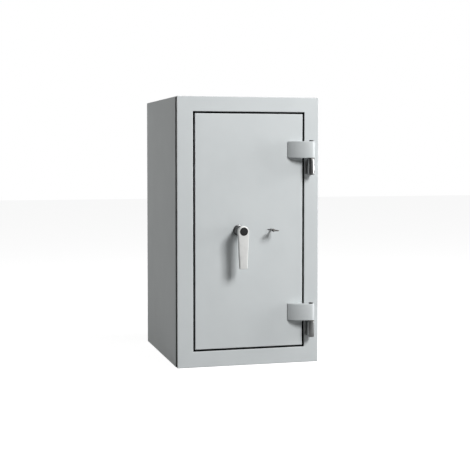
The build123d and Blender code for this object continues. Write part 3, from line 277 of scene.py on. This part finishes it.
# ================================================================ liner and shelves
# The liner is 2 mm sheet in the same grey, without the heavy grain. Shelves hang on pegs in
# drilled rails.
liner_coat = powder_coat("liner_coat", (0.56, 0.585, 0.59), (0.53, 0.555, 0.56), 0.4)
wear(liner_coat, "liner_wrap", "liner_back", "shelf_rails", "shelf_1", "shelf_2")


# ================================================================ fillings and hidden sleeves
# Behind the skins lies a cast mineral filling. Zinc-plated sleeves and sockets keep it off
# the anchor bolts and the door bolts.
def cast_filling():
    """Grey cast aggregate, pitted and coarse."""
    material, shader, place = new_finish("cast_filling", {"Specular IOR Level": 0.2})
    stone = place.noise(140.0, 4.0, 0.7)
    feed(shader, {"Base Color": stone.spread(0.3, 0.7).tint((0.42, 0.41, 0.38), (0.6, 0.59, 0.55)),
                  "Roughness": 0.85 + stone * 0.1, "Normal": stone.bump(0.0015)})
    return material


def zinc_plate():
    """Zinc-plated steel: pale, faintly blue and yellow by turns, with a fine spangle."""
    material, shader, place = new_finish("zinc_plate", {"Metallic": 1.0})
    tone = place.noise(22.0, 3.0).spread(0.35, 0.65)
    grain = place.noise(500.0, 3.0)
    feed(shader, {"Base Color": tone.tint((0.62, 0.63, 0.64), (0.66, 0.64, 0.56)),
                  "Roughness": 0.32 + grain * 0.18, "Normal": grain.bump(0.00006)})
    return material


wear(cast_filling(), "wall_filling", "door_filling")
zinc = zinc_plate()
wear(zinc, "bolt_sockets", "dog_sockets", "anchor_sleeves", "shelf_pegs", "mounting_plate",
     "side_bolt_bar", "drive_rack", "top_rod", "bottom_rod", "rod_guides", "key_guide_tube",
     "lock_case", "lock_cover", "dog_nuts", "bar_rivets", "side_bolt_screws", "lock_screws")


# ================================================================ door
# The door plate is 10 mm armour plate, flush with the frame. Its sides are a folded pan,
# closed at the back by a screwed cover.
wear(coat, "door_front_plate", "door_pan", "door_rear_cover")


# ================================================================ hinges
# Each hinge is a fixed barrel of bare steel on a welded foot, and a cast wing on the door,
# coated with the rest. The wing's front is one curve from the door face to the barrel. The
# pin is bright steel, and a black cap closes the wing over it.
def round_corners(corners, radii, steps=6):
    """A closed outline with each corner replaced by an arc tangent to both its sides: the
    arc's centre lies on the corner's bisector, a radius away from either side."""
    corners = np.asarray(corners, float)
    before = np.roll(corners, 1, axis=0)
    after = np.roll(corners, -1, axis=0)
    run = []
    for corner, back, ahead, radius in zip(corners, before, after, radii):
        to_back = (back - corner) / np.linalg.norm(back - corner)
        to_ahead = (ahead - corner) / np.linalg.norm(ahead - corner)
        half = math.acos(np.clip(to_back @ to_ahead, -1, 1)) / 2
        if radius == 0 or half > math.radians(89.9):
            run.append(corner[None])
            continue
        bisector = to_back + to_ahead
        centre = corner + bisector / np.linalg.norm(bisector) * radius / math.sin(half)
        first = corner + to_back * radius / math.tan(half) - centre
        last = corner + to_ahead * radius / math.tan(half) - centre
        sweep = math.pi - 2 * half
        t = np.linspace(0, 1, steps + 1)[:, None]
        run.append(centre + (np.sin((1 - t) * sweep) * first + np.sin(t * sweep) * last)
                   / math.sin(sweep))
    return np.concatenate(run)


def inset(outline, distance):
    """A closed outline moved inwards: each point goes along the mean of its two sides'
    normals, by the distance over the cosine of half the turn there."""
    ahead = np.roll(outline, -1, axis=0)
    side = ahead - outline
    side /= np.linalg.norm(side, axis=1)[:, None]
    area = np.sum(outline[:, 0] * ahead[:, 1] - ahead[:, 0] * outline[:, 1])
    normal = np.stack([-side[:, 1], side[:, 0]], axis=1) * np.sign(area)
    mean = normal + np.roll(normal, 1, axis=0)
    mean /= np.linalg.norm(mean, axis=1)[:, None]
    share = np.clip(np.sum(mean * normal, axis=1), 0.5, 1.0)
    return outline + mean * (distance / share)[:, None]


def skin_loops(loops, ring=False):
    """Quads between each loop of points and the next. The first and last loops are closed
    with flat faces, or joined to each other where ring is set."""
    loops = np.asarray(loops, float)
    count, around = loops.shape[:2]
    index = np.arange(count * around).reshape(count, around)
    ahead = np.roll(index, -1, axis=1)
    if ring:
        index = np.concatenate([index, index[:1]])
        ahead = np.concatenate([ahead, ahead[:1]])
    quads = np.stack([index[:-1], ahead[:-1], ahead[1:], index[1:]], axis=-1).reshape(-1, 4)
    faces = quads.tolist()
    if not ring:
        faces += [index[0].tolist(), index[-1][::-1].tolist()]
    return loops.reshape(-1, 3), faces


def make_piece(name, shells, material, body, sharp=35.0):
    """One object from closed shells of points and faces, with its normals turned outwards
    and its shading smooth up to the sharp angle, riding on a body."""
    points = []
    faces = []
    start = 0
    for shell_points, shell_faces in shells:
        points.append(shell_points)
        faces += [[start + corner for corner in face] for face in shell_faces]
        start += len(shell_points)
    mesh = bpy.data.meshes.new(name)
    mesh.from_pydata(np.concatenate(points).tolist(), [], faces)
    work = bmesh.new()
    work.from_mesh(mesh)
    bmesh.ops.remove_doubles(work, verts=work.verts, dist=1e-7)
    bmesh.ops.recalc_face_normals(work, faces=work.faces)
    work.to_mesh(mesh)
    work.free()
    mesh.shade_smooth()
    mesh.set_sharp_from_angle(angle=math.radians(sharp))
    mesh.materials.append(material)
    piece = bpy.data.objects.new(name, mesh)
    bpy.context.scene.collection.objects.link(piece)
    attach(piece, body)
    return piece


def slab(outline, low, high, edge, place, steps=5):
    """A plate of an outline between two heights. Both its edges are rounded: along each
    quarter turn the outline moves in by one minus the sine, and up by one minus the cosine,
    of the edge radius. place turns outline and height into points."""
    turn = np.linspace(0, math.pi / 2, steps + 1)
    draw_in = edge * (1 - np.sin(turn))
    rise = edge * (1 - np.cos(turn))
    levels = [(d, low + r) for d, r in zip(draw_in, rise)]
    levels += [(d, high - r) for d, r in zip(draw_in[::-1], rise[::-1])]
    return skin_loops([place(inset(outline, d), h) for d, h in levels])


def flat_lie(outline, height):
    """An outline in plan, at a height."""
    return np.column_stack([outline, np.full(len(outline), height)])


face_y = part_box("front_frame")[0].y
pin_low, pin_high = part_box("hinge_pins")
hinge_x = (pin_low.x + pin_high.x) / 2
hinge_y = (pin_low.y + pin_high.y) / 2


def hinge_wing(node, name):
    """The wing: an arc that leaves the door face steeply and meets the barrel's front
    square on, then the barrel's own circle, and a flat back against the door."""
    edge = 0.0018           # radius of its upper and lower edges
    end_thick = 0.0035      # its left end stands this far off the door
    step_in = 0.002         # the step behind it, from the door's edge
    low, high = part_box(node)
    door_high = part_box("door_front_plate")[1]
    radius = high.x - hinge_x
    reach = hinge_x - low.x
    rise = face_y - end_thick - low.y
    curve = (reach**2 + rise**2) / (2 * rise)
    bearing = np.linspace(-math.asin(reach / curve), 0, 48)
    front = np.column_stack([hinge_x + curve * np.sin(bearing),
                             low.y + curve * (1 - np.cos(bearing))])
    turn = np.linspace(-math.pi / 2, math.pi / 2, 40)[1:]
    barrel = np.column_stack([hinge_x + radius * np.cos(turn), hinge_y + radius * np.sin(turn)])
    step_x = door_high.x - step_in
    back = np.array([[step_x, hinge_y + radius], [step_x, face_y], [low.x, face_y]])
    outline = np.concatenate([front, barrel, back])
    piece = make_piece(name, [slab(outline, low.z, high.z, edge, flat_lie)], coat, "door")
    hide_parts(node)


hinge_wing("upper_hinge_wing", "upper_wing_casting")
hinge_wing("lower_hinge_wing", "lower_wing_casting")


def lathe(profile, centre, along, around=64):
    """A turned shell: each profile pair is a radius and a place along the axis, and the
    radius is swung round the axis through a full turn. along is "x", "y" or "z"."""
    profile = np.asarray(profile, float)
    turn = np.linspace(0, 2 * math.pi, around, endpoint=False)
    across_1 = np.outer(profile[:, 0], np.cos(turn))
    across_2 = np.outer(profile[:, 0], np.sin(turn))
    axial = np.repeat(profile[:, 1][:, None], around, axis=1)
    order = {"x": (axial, across_1, across_2), "y": (across_1, axial, across_2),
             "z": (across_1, across_2, axial)}[along]
    return skin_loops(np.stack(order, axis=-1) + np.asarray(centre, float))


def edge_arc(radius, place, edge, outwards, rise, steps=4):
    """Profile pairs of a rounded rim at a radius: a quarter turn that starts on the flat end
    and ends on the side, or runs back where outwards is negative. rise is the sign of the
    way from the end into the piece."""
    turn = np.linspace(0, math.pi / 2, steps + 1)
    pairs = np.column_stack([radius - edge * (1 - np.sin(turn)),
                             place + rise * edge * (1 - np.cos(turn))])
    return pairs if outwards > 0 else pairs[::-1]


barrel_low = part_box("hinge_barrels")[0]
wing_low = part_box("lower_hinge_wing")[0]
washer_gap = 0.002
barrel_height = wing_low.z - barrel_low.z - washer_gap
barrel_radius = hinge_y - barrel_low.y
barrel_rim = 0.0035
upper_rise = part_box("upper_hinge_wing")[0].z - wing_low.z
foot_half = 0.012
foot_top_in = 0.002


def barrel_shells(foot_z):
    """One barrel: a turned body with a well rounded lower rim, and its foot, a slab from
    the barrel's middle back to the frame."""
    top_edge = 0.0008
    foot_edge = 0.001
    top_z = foot_z + barrel_height
    body = np.concatenate([edge_arc(barrel_radius, foot_z, barrel_rim, 1, 1, 6),
                           edge_arc(barrel_radius, top_z, top_edge, -1, -1)])
    foot = np.array([(hinge_x - foot_half, hinge_y), (hinge_x + foot_half, hinge_y),
                     (hinge_x + foot_half, face_y), (hinge_x - foot_half, face_y)])
    return [lathe(body, (hinge_x, hinge_y, 0), "z"),
            slab(foot, foot_z + barrel_rim, top_z - foot_top_in, foot_edge, flat_lie)]


def bright_steel(name, light, deep):
    """Ground steel with fine lines, kept from rust by a film of oil."""
    material, shader, place = new_finish(name, {"Metallic": 1.0})
    line = place.noise(900.0, 2.0)
    smear = place.noise(30.0, 3.0).spread(0.35, 0.65)
    feed(shader, {"Base Color": smear.tint(light, deep),
                  "Roughness": 0.22 + line * 0.15, "Normal": line.bump(0.00003)})
    return material


barrel_steel = bright_steel("barrel_steel", (0.42, 0.43, 0.43), (0.33, 0.33, 0.33))
barrels = make_piece("barrel_forgings", barrel_shells(barrel_low.z)
                     + barrel_shells(barrel_low.z + upper_rise), barrel_steel, "casing")
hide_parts("hinge_barrels")


def weld_shell(x, side, low, high):
    """A fillet weld up the side of a foot: a quarter round whose radius swells and shrinks
    with each ripple, carried up in Z."""
    throat = 0.0030
    swell = 0.00025
    pitch = 0.0031          # from one ripple to the next
    run_out = 0.003         # the weld tapers over this length at either end
    sunk = 0.0003           # its root lies this deep in the frame
    height = np.linspace(low, high, 120)
    ripple = throat + swell * np.cos(height * 2 * math.pi / pitch)
    ripple *= np.clip(np.minimum(height - low, high - height) / run_out, 0.3, 1) ** 0.5
    turn = np.linspace(0, math.pi / 2, 7)
    out = np.outer(ripple, np.cos(turn))
    up = np.outer(ripple, np.sin(turn))
    corner = np.zeros((len(height), 1))
    across = np.concatenate([out, corner], axis=1) * side + x
    proud = face_y + sunk - np.concatenate([up, corner], axis=1)
    level = np.repeat(height[:, None], len(turn) + 1, axis=1)
    return skin_loops(np.stack([across, proud, level], axis=-1))


weld_in = 0.001             # short of the foot's ends
welds = [weld_shell(hinge_x + side * foot_half, side, foot_z + barrel_rim + weld_in,
                    foot_z + barrel_height - foot_top_in - weld_in)
         for foot_z in (barrel_low.z, barrel_low.z + upper_rise) for side in (-1, 1)]
make_piece("hinge_foot_welds", welds, barrel_steel, "casing", sharp=60.0)


steel = bright_steel("bright_steel", (0.66, 0.66, 0.66), (0.56, 0.55, 0.53))
wear(steel, "hinge_pins", "fixed_dogs", "handle_spindle", "spindle_clip",
     "handle_grub_screw", "bolt_pinion", "lever_post", "bar_guide_posts", "lock_bolt")


def oiled_bronze():
    """Bronze bearing metal, blackened by oil and handling."""
    material, shader, place = new_finish("oiled_bronze", {"Metallic": 1.0})
    oil = place.noise(200.0, 3.0).spread(0.3, 0.7)
    feed(shader, {"Base Color": oil.tint((0.10, 0.075, 0.05), (0.05, 0.04, 0.03)),
                  "Roughness": 0.35 + oil * 0.15, "Normal": place.noise(700.0).bump(0.00003)})
    return material


wear(oiled_bronze(), "hinge_washers")


def black_moulding():
    """Black moulded plastic with a fine spark-eroded grain."""
    material, shader, place = new_finish("black_moulding", {"Specular IOR Level": 0.5})
    grain = place.noise(1500.0, 2.0)
    feed(shader, {"Base Color": grain.spread(0.3, 0.7).tint((0.008, 0.008, 0.008),
                                                            (0.016, 0.016, 0.016)),
                  "Roughness": 0.35 + grain * 0.1, "Normal": grain.bump(0.00003)})
    return material


moulding = black_moulding()
cap_low, cap_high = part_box("pin_caps")


def pin_cap_shell(top_z):
    """A push-in cap: a straight stem, a well rounded rim and a slightly crowned top."""
    crown = 0.0005
    rim_edge = 0.0014
    stem = 0.0145
    radius = (cap_high.x - cap_low.x) / 2
    rim = edge_arc(radius, top_z - crown, rim_edge, -1, -1)
    profile = np.concatenate([[(radius, top_z - stem)], rim,
                              [(radius * 0.45, top_z - crown / 5), (radius * 0.1, top_z)]])
    return lathe(profile, (hinge_x, hinge_y, 0), "z", 48)


pin_plugs = make_piece("pin_cap_mouldings",
                       [pin_cap_shell(cap_high.z), pin_cap_shell(cap_high.z - upper_rise)],
                       moulding, "door")
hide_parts("pin_caps")


# ================================================================ handle
# The lever is a zinc casting, ground flat and satin nickel plated. It sits on a dark, turned
# neck with rings, over a rosette. A black disc closes the hole for its screw.
spindle_low, spindle_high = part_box("handle_spindle")
handle_x = (spindle_low.x + spindle_high.x) / 2
handle_z = (spindle_low.z + spindle_high.z) / 2
lever_low, lever_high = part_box("handle_lever")


def stand_up(outline, depth):
    """An outline in X and Z, at a depth in Y."""
    return np.column_stack([outline[:, 0], np.full(len(outline), depth), outline[:, 1]])


def lever_shell():
    """The lever: a round head and two straight sides tangent to it, down to a square tip.
    The front carries a round seat for the disc, whose points lie on the lines from the
    head's centre to the outline's points."""
    tip_half = 0.014
    tip_corner = 0.003
    edge = 0.0020           # radius of the front and rear edges
    seat_r = 0.0152         # the disc's seat, its edge break and its depth
    seat_edge = 0.0004
    seat_deep = 0.0024
    head_r = lever_high.z - handle_z
    length = handle_z - lever_low.z
    bearing = math.atan2(-length, tip_half) + math.acos(head_r / math.hypot(tip_half, length))
    turn = np.linspace(bearing, math.pi - bearing, 64)
    head = np.column_stack([handle_x + head_r * np.cos(turn), handle_z + head_r * np.sin(turn)])
    tip = np.array([(handle_x - tip_half, lever_low.z), (handle_x + tip_half, lever_low.z)])
    tip_arcs = round_corners(np.concatenate([head[[0, -1]], tip]),
                             [0, 0, tip_corner, tip_corner], 8)[2:]
    share = np.linspace(0, 1, 33)[1:-1, None]
    left_side = head[-1] * (1 - share) + tip_arcs[0] * share
    foot_share = np.linspace(0, 1, 9)[1:-1, None]
    foot = tip_arcs[8] * (1 - foot_share) + tip_arcs[9] * foot_share
    right_side = tip_arcs[-1] * (1 - share) + head[0] * share
    outline = np.concatenate([head, left_side, tip_arcs[:9], foot, tip_arcs[9:], right_side])
    centre = np.array([handle_x, handle_z])
    spoke = outline - centre
    spoke /= np.linalg.norm(spoke, axis=1)[:, None]
    turn = np.linspace(0, math.pi / 2, 7)
    draw_in = edge * (1 - np.sin(turn))
    rise = edge * (1 - np.cos(turn))
    loops = [stand_up(inset(outline, d), lever_high.y - r) for d, r in zip(draw_in, rise)]
    loops += [stand_up(inset(outline, d), lever_low.y + r)
              for d, r in zip(draw_in[::-1], rise[::-1])]
    for radius, depth in ((seat_r + seat_edge, 0.0), (seat_r, seat_edge), (seat_r, seat_deep)):
        loops.append(stand_up(centre + spoke * radius, lever_low.y + depth))
    return skin_loops(loops)


def satin_nickel():
    """Satin nickel with long grinding lines down the lever."""
    material, shader, place = new_finish("satin_nickel", {"Specular IOR Level": 0.6})
    line = place.stretched(1400.0, 200.0, 14.0).noise(1.0, 2.0)
    tone = place.noise(40.0, 2.0).spread(0.35, 0.65)
    feed(shader, {"Base Color": tone.tint((0.84, 0.845, 0.83), (0.79, 0.795, 0.78)),
                  "Metallic": 0.30 + tone * 0.05, "Roughness": 0.30 + line * 0.14,
                  "Normal": line.bump(0.00004)})
    return material


nickel = satin_nickel()
lever = make_piece("lever_casting", [lever_shell()], nickel, "handle")
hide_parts("handle_lever")


def disc_shells():
    """The disc: a rounded rim, a sunk ring, and a raised, crowned centre."""
    rim_edge = 0.0004
    thick = 0.0022
    sunk = 0.0006
    crown = 0.0001
    low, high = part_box("handle_cap")
    front = low.y
    radius = high.x - handle_x
    rim = edge_arc(radius, front, rim_edge, -1, 1)
    profile = np.concatenate([[(radius, front + thick)], rim,
                              [(radius * 0.93, front), (radius * 0.90, front + sunk),
                               (radius * 0.72, front + sunk), (radius * 0.69, front + crown),
                               (radius * 0.35, front), (radius * 0.03, front - crown)]])
    return [lathe(profile, (handle_x, 0, handle_z), "y", 96)]


disc = make_piece("lever_disc", disc_shells(), moulding, "handle")
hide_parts("handle_cap")


def dark_nickel(name, light, deep):
    """Dark, handled nickel plate over turned steel."""
    material, shader, place = new_finish(name, {"Metallic": 1.0})
    touch = place.noise(90.0, 3.0).spread(0.3, 0.7)
    feed(shader, {"Base Color": touch.tint(light, deep), "Roughness": 0.2 + touch * 0.2,
                  "Normal": place.stretched(120.0, 3000.0, 120.0).noise(1.0).bump(0.00002)})
    return material


turned_nickel = dark_nickel("turned_nickel", (0.20, 0.20, 0.20), (0.12, 0.12, 0.12))


def neck_shell():
    """The neck: rings between narrow grooves, each ring a half turn of a shallow arc."""
    rings = 6
    groove = 0.84           # radius in the grooves, as a share of the largest
    first = 0.55            # height of the rings at the front, as a share of the last
    low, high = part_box("handle_neck")
    radius = high.x - handle_x
    step = np.linspace(0, 1, 97)
    ring = np.abs(np.sin(step * math.pi * rings)) ** 0.6
    swell = (1 - groove) * ring * (first + (1 - first) * step)
    profile = np.column_stack([radius * (groove + swell), low.y + (high.y - low.y) * step])
    return lathe(profile, (handle_x, 0, handle_z), "y", 72)


def rosette_shell():
    """The rosette: a low dished ring against the door."""
    inner = 0.80            # the dish's edge, as a share of the radius
    dish = 0.0005
    rim_edge = 0.0022
    low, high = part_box("handle_rosette")
    radius = high.x - handle_x
    profile = np.concatenate([[(radius * inner, low.y)],
                              edge_arc(radius, low.y + dish, rim_edge, 1, 1),
                              [(radius, high.y)]])
    return lathe(profile, (handle_x, 0, handle_z), "y", 72)


neck = make_piece("turned_neck", [neck_shell()], turned_nickel, "handle")
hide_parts("handle_neck")
rosette = make_piece("turned_rosette", [rosette_shell()], turned_nickel, "door")
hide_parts("handle_rosette")


# ================================================================ key
# A double-bitted key, forged and filed. The flat bow has a hole for a ring, a shoulder stops
# it, and the stepped bits lie in the lock. Dark nickel plated and worn by the hand.
key_low, key_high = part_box("key")
key_x = (key_low.x + key_high.x) / 2
key_z = (key_low.z + key_high.z) / 2
bow_half = 0.015
bow_depth = 0.028


def bow_shell():
    """The bow: a rounded plate whose section, out round the rim and back through the hole,
    is carried along matching points of both outlines."""
    bow_corner = 0.009
    hole_half = 0.007
    hole_corner = 0.003
    rim_near = 0.005        # metal left before and behind the hole
    rim_far = 0.012
    half = 0.002            # half its thickness
    edge = 0.0008
    near = key_low.y
    far = key_low.y + bow_depth
    outer = round_corners([(key_x - bow_half, near), (key_x + bow_half, near),
                           (key_x + bow_half, far), (key_x - bow_half, far)],
                          [bow_corner] * 4, 10)
    hole = round_corners([(key_x - hole_half, near + rim_near),
                          (key_x + hole_half, near + rim_near),
                          (key_x + hole_half, far - rim_far),
                          (key_x - hole_half, far - rim_far)], [hole_corner] * 4, 10)
    turn = np.linspace(0, math.pi / 2, 5)
    draw_in = edge * (1 - np.sin(turn))
    rise = edge * (1 - np.cos(turn))
    loops = [flat_lie(inset(outer, d), key_z - half + r) for d, r in zip(draw_in, rise)]
    loops += [flat_lie(inset(outer, d), key_z + half - r)
              for d, r in zip(draw_in[::-1], rise[::-1])]
    loops += [flat_lie(inset(hole, -d), key_z + half - r) for d, r in zip(draw_in, rise)]
    loops += [flat_lie(inset(hole, -d), key_z - half + r)
              for d, r in zip(draw_in[::-1], rise[::-1])]
    return skin_loops(loops, ring=True)


def shank_shell():
    """The shank: a round bar with a shoulder behind the bow and a pointed end."""
    shank_r = 0.004
    root = 0.006            # the length that lies in the bow
    collar_r = 0.0056
    collar = 0.005
    collar_edge = 0.0006
    nose = 0.0015
    shoulder = key_low.y + bow_depth
    start = shoulder - root
    profile = [(0.0022, start), (0.0036, start + 0.0015), (shank_r, start + 0.004),
               (shank_r, shoulder), (collar_r, shoulder + collar_edge),
               (collar_r, shoulder + collar - collar_edge), (shank_r, shoulder + collar),
               (shank_r, key_high.y - nose), (shank_r * 0.6, key_high.y)]
    return lathe(profile, (key_x, 0, key_z), "y", 40)


def bit_shell():
    """The bits: one stepped plate through the shank, alike on both sides."""
    cuts = np.array([0.0, 2.4, 0.8, 3.0, 1.6, 0.0]) / 1000
    length = 0.018
    uncut = 0.014
    half = 0.0017
    reach = uncut - cuts
    ends = key_high.y - length + np.linspace(0, length, len(cuts) + 1)
    steps = np.stack([ends[:-1], ends[1:]], axis=1).ravel()
    right = np.stack([np.repeat(reach, 2), steps], axis=1)
    left = right[::-1] * (-1, 1)
    outline = np.concatenate([right, left]) + (key_x, 0)
    return skin_loops([flat_lie(outline, key_z - half), flat_lie(outline, key_z + half)])


key_piece = make_piece("key_forging", [bow_shell(), shank_shell(), bit_shell()],
                       dark_nickel("key_nickel", (0.12, 0.115, 0.11), (0.06, 0.058, 0.055)),
                       "key")
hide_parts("key")


# ================================================================ lock, spindle bush and levers
# Curtain, levers and spindle bush are machined brass.
def machined_brass():
    """Machined brass with faint tool lines and a dulled skin."""
    material, shader, place = new_finish("machined_brass", {"Metallic": 1.0})
    dull = place.noise(60.0, 3.0).spread(0.3, 0.7)
    line = place.noise(800.0)
    feed(shader, {"Base Color": dull.tint((0.78, 0.6, 0.28), (0.6, 0.44, 0.2)),
                  "Roughness": 0.25 + dull * 0.2, "Normal": line.bump(0.00004)})
    return material


wear(machined_brass(), "spindle_bush", "lock_curtain", "lock_levers")


# ================================================================ bolts
# The side, top and bottom bolts are ground round bar with a chamfered nose, screwed or
# welded to the boltwork behind the door's rear cover.
def bolt_shells(node, along, nose, count=1):
    """Turned bolts on parallel axes, spread evenly in Z where there are several. The nose is
    a cone, and a light break takes the sharp edge off the far end."""
    nose_edge = 0.002
    far_edge = 0.0005
    low, high = (np.array(corner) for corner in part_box(node))
    axis = "xyz".index(along)
    centre = (low + high) / 2
    radius = (high[1] - low[1]) / 2
    start, end = low[axis], high[axis]
    if nose > 0:
        start, end = end, start
    inwards = 1 if end > start else -1
    centre[axis] = 0.0
    profile = [(radius - nose_edge, start), (radius, start + inwards * nose_edge),
               (radius, end - inwards * far_edge), (radius - far_edge, end)]
    places = np.repeat(centre[None], count, axis=0)
    if count > 1:
        places[:, 2] = np.linspace(low[2] + radius, high[2] - radius, count)
    return [lathe(profile, place, along, 48) for place in places]


side_bars = make_piece("side_bolt_bars", bolt_shells("side_bolts", "x", -1, 3), steel,
                       "side_boltwork")
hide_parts("side_bolts")
top_bar = make_piece("top_bolt_bar", bolt_shells("top_bolt", "z", 1), steel,
                     "top_boltwork")
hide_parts("top_bolt")
bottom_bar = make_piece("bottom_bolt_bar", bolt_shells("bottom_bolt", "z", -1), steel,
                        "bottom_boltwork")
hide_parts("bottom_bolt")


# ================================================================ rear cover screws
# Eight button-head screws hold the rear cover on the door pan.
def screw_shells():
    """Button heads in two columns and four rows. The crown falls away with the square of
    the radius, and a socket is let into it."""
    radius = 0.006
    head = 0.0030           # height of the head, and how far its crown falls
    crown_fall = 0.0022
    socket = 0.0020         # depth of the socket
    shank_r = 0.0029
    shank_top = 0.0029
    low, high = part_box("cover_screws")
    crown = np.linspace(1, 0.42, 7)
    ring = np.column_stack([radius * crown, high.y - crown_fall * crown**2])
    button = np.concatenate([[(radius, high.y - head)], ring,
                             [(radius * 0.40, high.y - socket)]])
    shank = [(shank_r, high.y - (high.y - low.y) * 0.999), (shank_r, high.y - shank_top)]
    shells = []
    for x in (low.x + radius, high.x - radius):
        for z in np.linspace(low.z + radius, high.z - radius, 4):
            shells.append(lathe(button, (x, 0, z), "y", 36))
            shells.append(lathe(shank, (x, 0, z), "y", 20))
    return shells


screws = make_piece("cover_button_screws", screw_shells(), zinc, "door")
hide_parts("cover_screws")


# ================================================================ door seal, its painted gap shade, and joint strips
# The seal is an extruded rubber angle. Its leg lines the wall of the recess: a black sheet of
# painted shade, standing in for the shade in the door gap. Its foot, on the shoulder, has two
# soft ribs for the door to press on. The joint strips are the same rubber, pushed into the
# joint behind each front corner.
def seal_and_gap_shade_shell():
    """The seal: a section with a thin leg up the wall of the recess, which is a black sheet of
    painted shade for the door gap, and a foot with two ribs, each a half wave, carried round
    the rectangle by drawing the outline in."""
    low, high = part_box("door_seal")
    outline = np.array([(low.x, low.z), (high.x, low.z), (high.x, high.z), (low.x, high.z)])
    width = 0.009
    # the leg's thickness: black rubber lining the recess wall, painted shade that darkens the door
    # gap
    gap_shade_leg = 0.001
    foot_high = 0.004
    foot_low = 0.0012
    across = np.linspace(0, 1, 25)
    ribs = np.abs(np.sin(across * 2 * math.pi)) ** 0.7
    depth = high.y - foot_low - (foot_high - foot_low) * ribs
    loops = [stand_up(outline, high.y), stand_up(outline, low.y),
             stand_up(inset(outline, gap_shade_leg), low.y)]
    loops += [stand_up(inset(outline, gap_shade_leg + w * (width - gap_shade_leg)), y) for w, y in zip(across, depth)]
    loops.append(stand_up(inset(outline, width), high.y))
    return skin_loops(loops, ring=True)


# The seal carries the black leg of painted shade for the door gap.
seal_and_gap_shade = make_piece("ribbed_door_seal", [seal_and_gap_shade_shell()], rubber, "casing", sharp=50.0)
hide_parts("door_seal")


def strip_shells():
    """The strips: a plan section with three grooves in its outer face, carried up."""
    lips = 4
    groove = 0.0005
    thick = 0.0015
    low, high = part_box("casing_joint_strips")
    depth = np.linspace(low.y, high.y, 49)
    wave = np.abs(np.sin((depth - low.y) / (high.y - low.y) * math.pi * lips)) ** 0.5
    shells = []
    for side, face in ((-1, low.x), (1, high.x)):
        outer = np.column_stack([face - side * groove * (1 - wave), depth])
        inner = np.array([[face - side * thick, high.y], [face - side * thick, low.y]])
        outline = np.concatenate([outer, inner])
        shells.append(skin_loops([flat_lie(outline, low.z), flat_lie(outline, high.z)]))
    return shells


strips = make_piece("ribbed_joint_strips", strip_shells(), rubber, "casing")
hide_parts("casing_joint_strips")


# ================================================================ anchor plugs
# A black plug with a low dome closes each anchor hole from inside.
def plug_shells():
    """Domed plugs: the flange's crown falls with the square of the radius."""
    flange_r = 0.012
    flange_h = 0.002
    crown_fall = 0.0014
    stem_r = 0.0084
    stem_length = 0.012
    liner_thick = 0.002
    mounts = {mount["name"]: mount for mount in frame["record"]["mounts"]}
    floor_dims = mounts["floor_anchors"]["dims"]
    half_x = floor_dims["spacing_x_mm"] / 2000
    half_y = floor_dims["spacing_y_mm"] / 2000
    crown = np.linspace(1, 0.08, 9)
    dome = flange_h - crown_fall * crown**2
    stem = [(stem_r, -stem_length), (stem_r, 0.0), (flange_r, 0.0)]
    profile = np.concatenate([stem, np.column_stack([flange_r * crown, dome])])
    floor_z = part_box("liner_wrap")[0].z + liner_thick
    back_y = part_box("liner_back")[0].y
    rear_z = mounts["rear_anchors"]["pos_m"][2]
    middle = mounts["floor_anchors"]["pos_m"]
    shells = [lathe(profile, (x, y, floor_z), "z", 40)
              for x in (middle[0] - half_x, middle[0] + half_x)
              for y in (middle[1] - half_y, middle[1] + half_y)]
    shells += [lathe(profile * (1, -1), (x, back_y, rear_z), "y", 40) for x in (-half_x, half_x)]
    return shells


plugs = make_piece("domed_anchor_plugs", plug_shells(), moulding, "casing")
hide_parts("anchor_plugs")
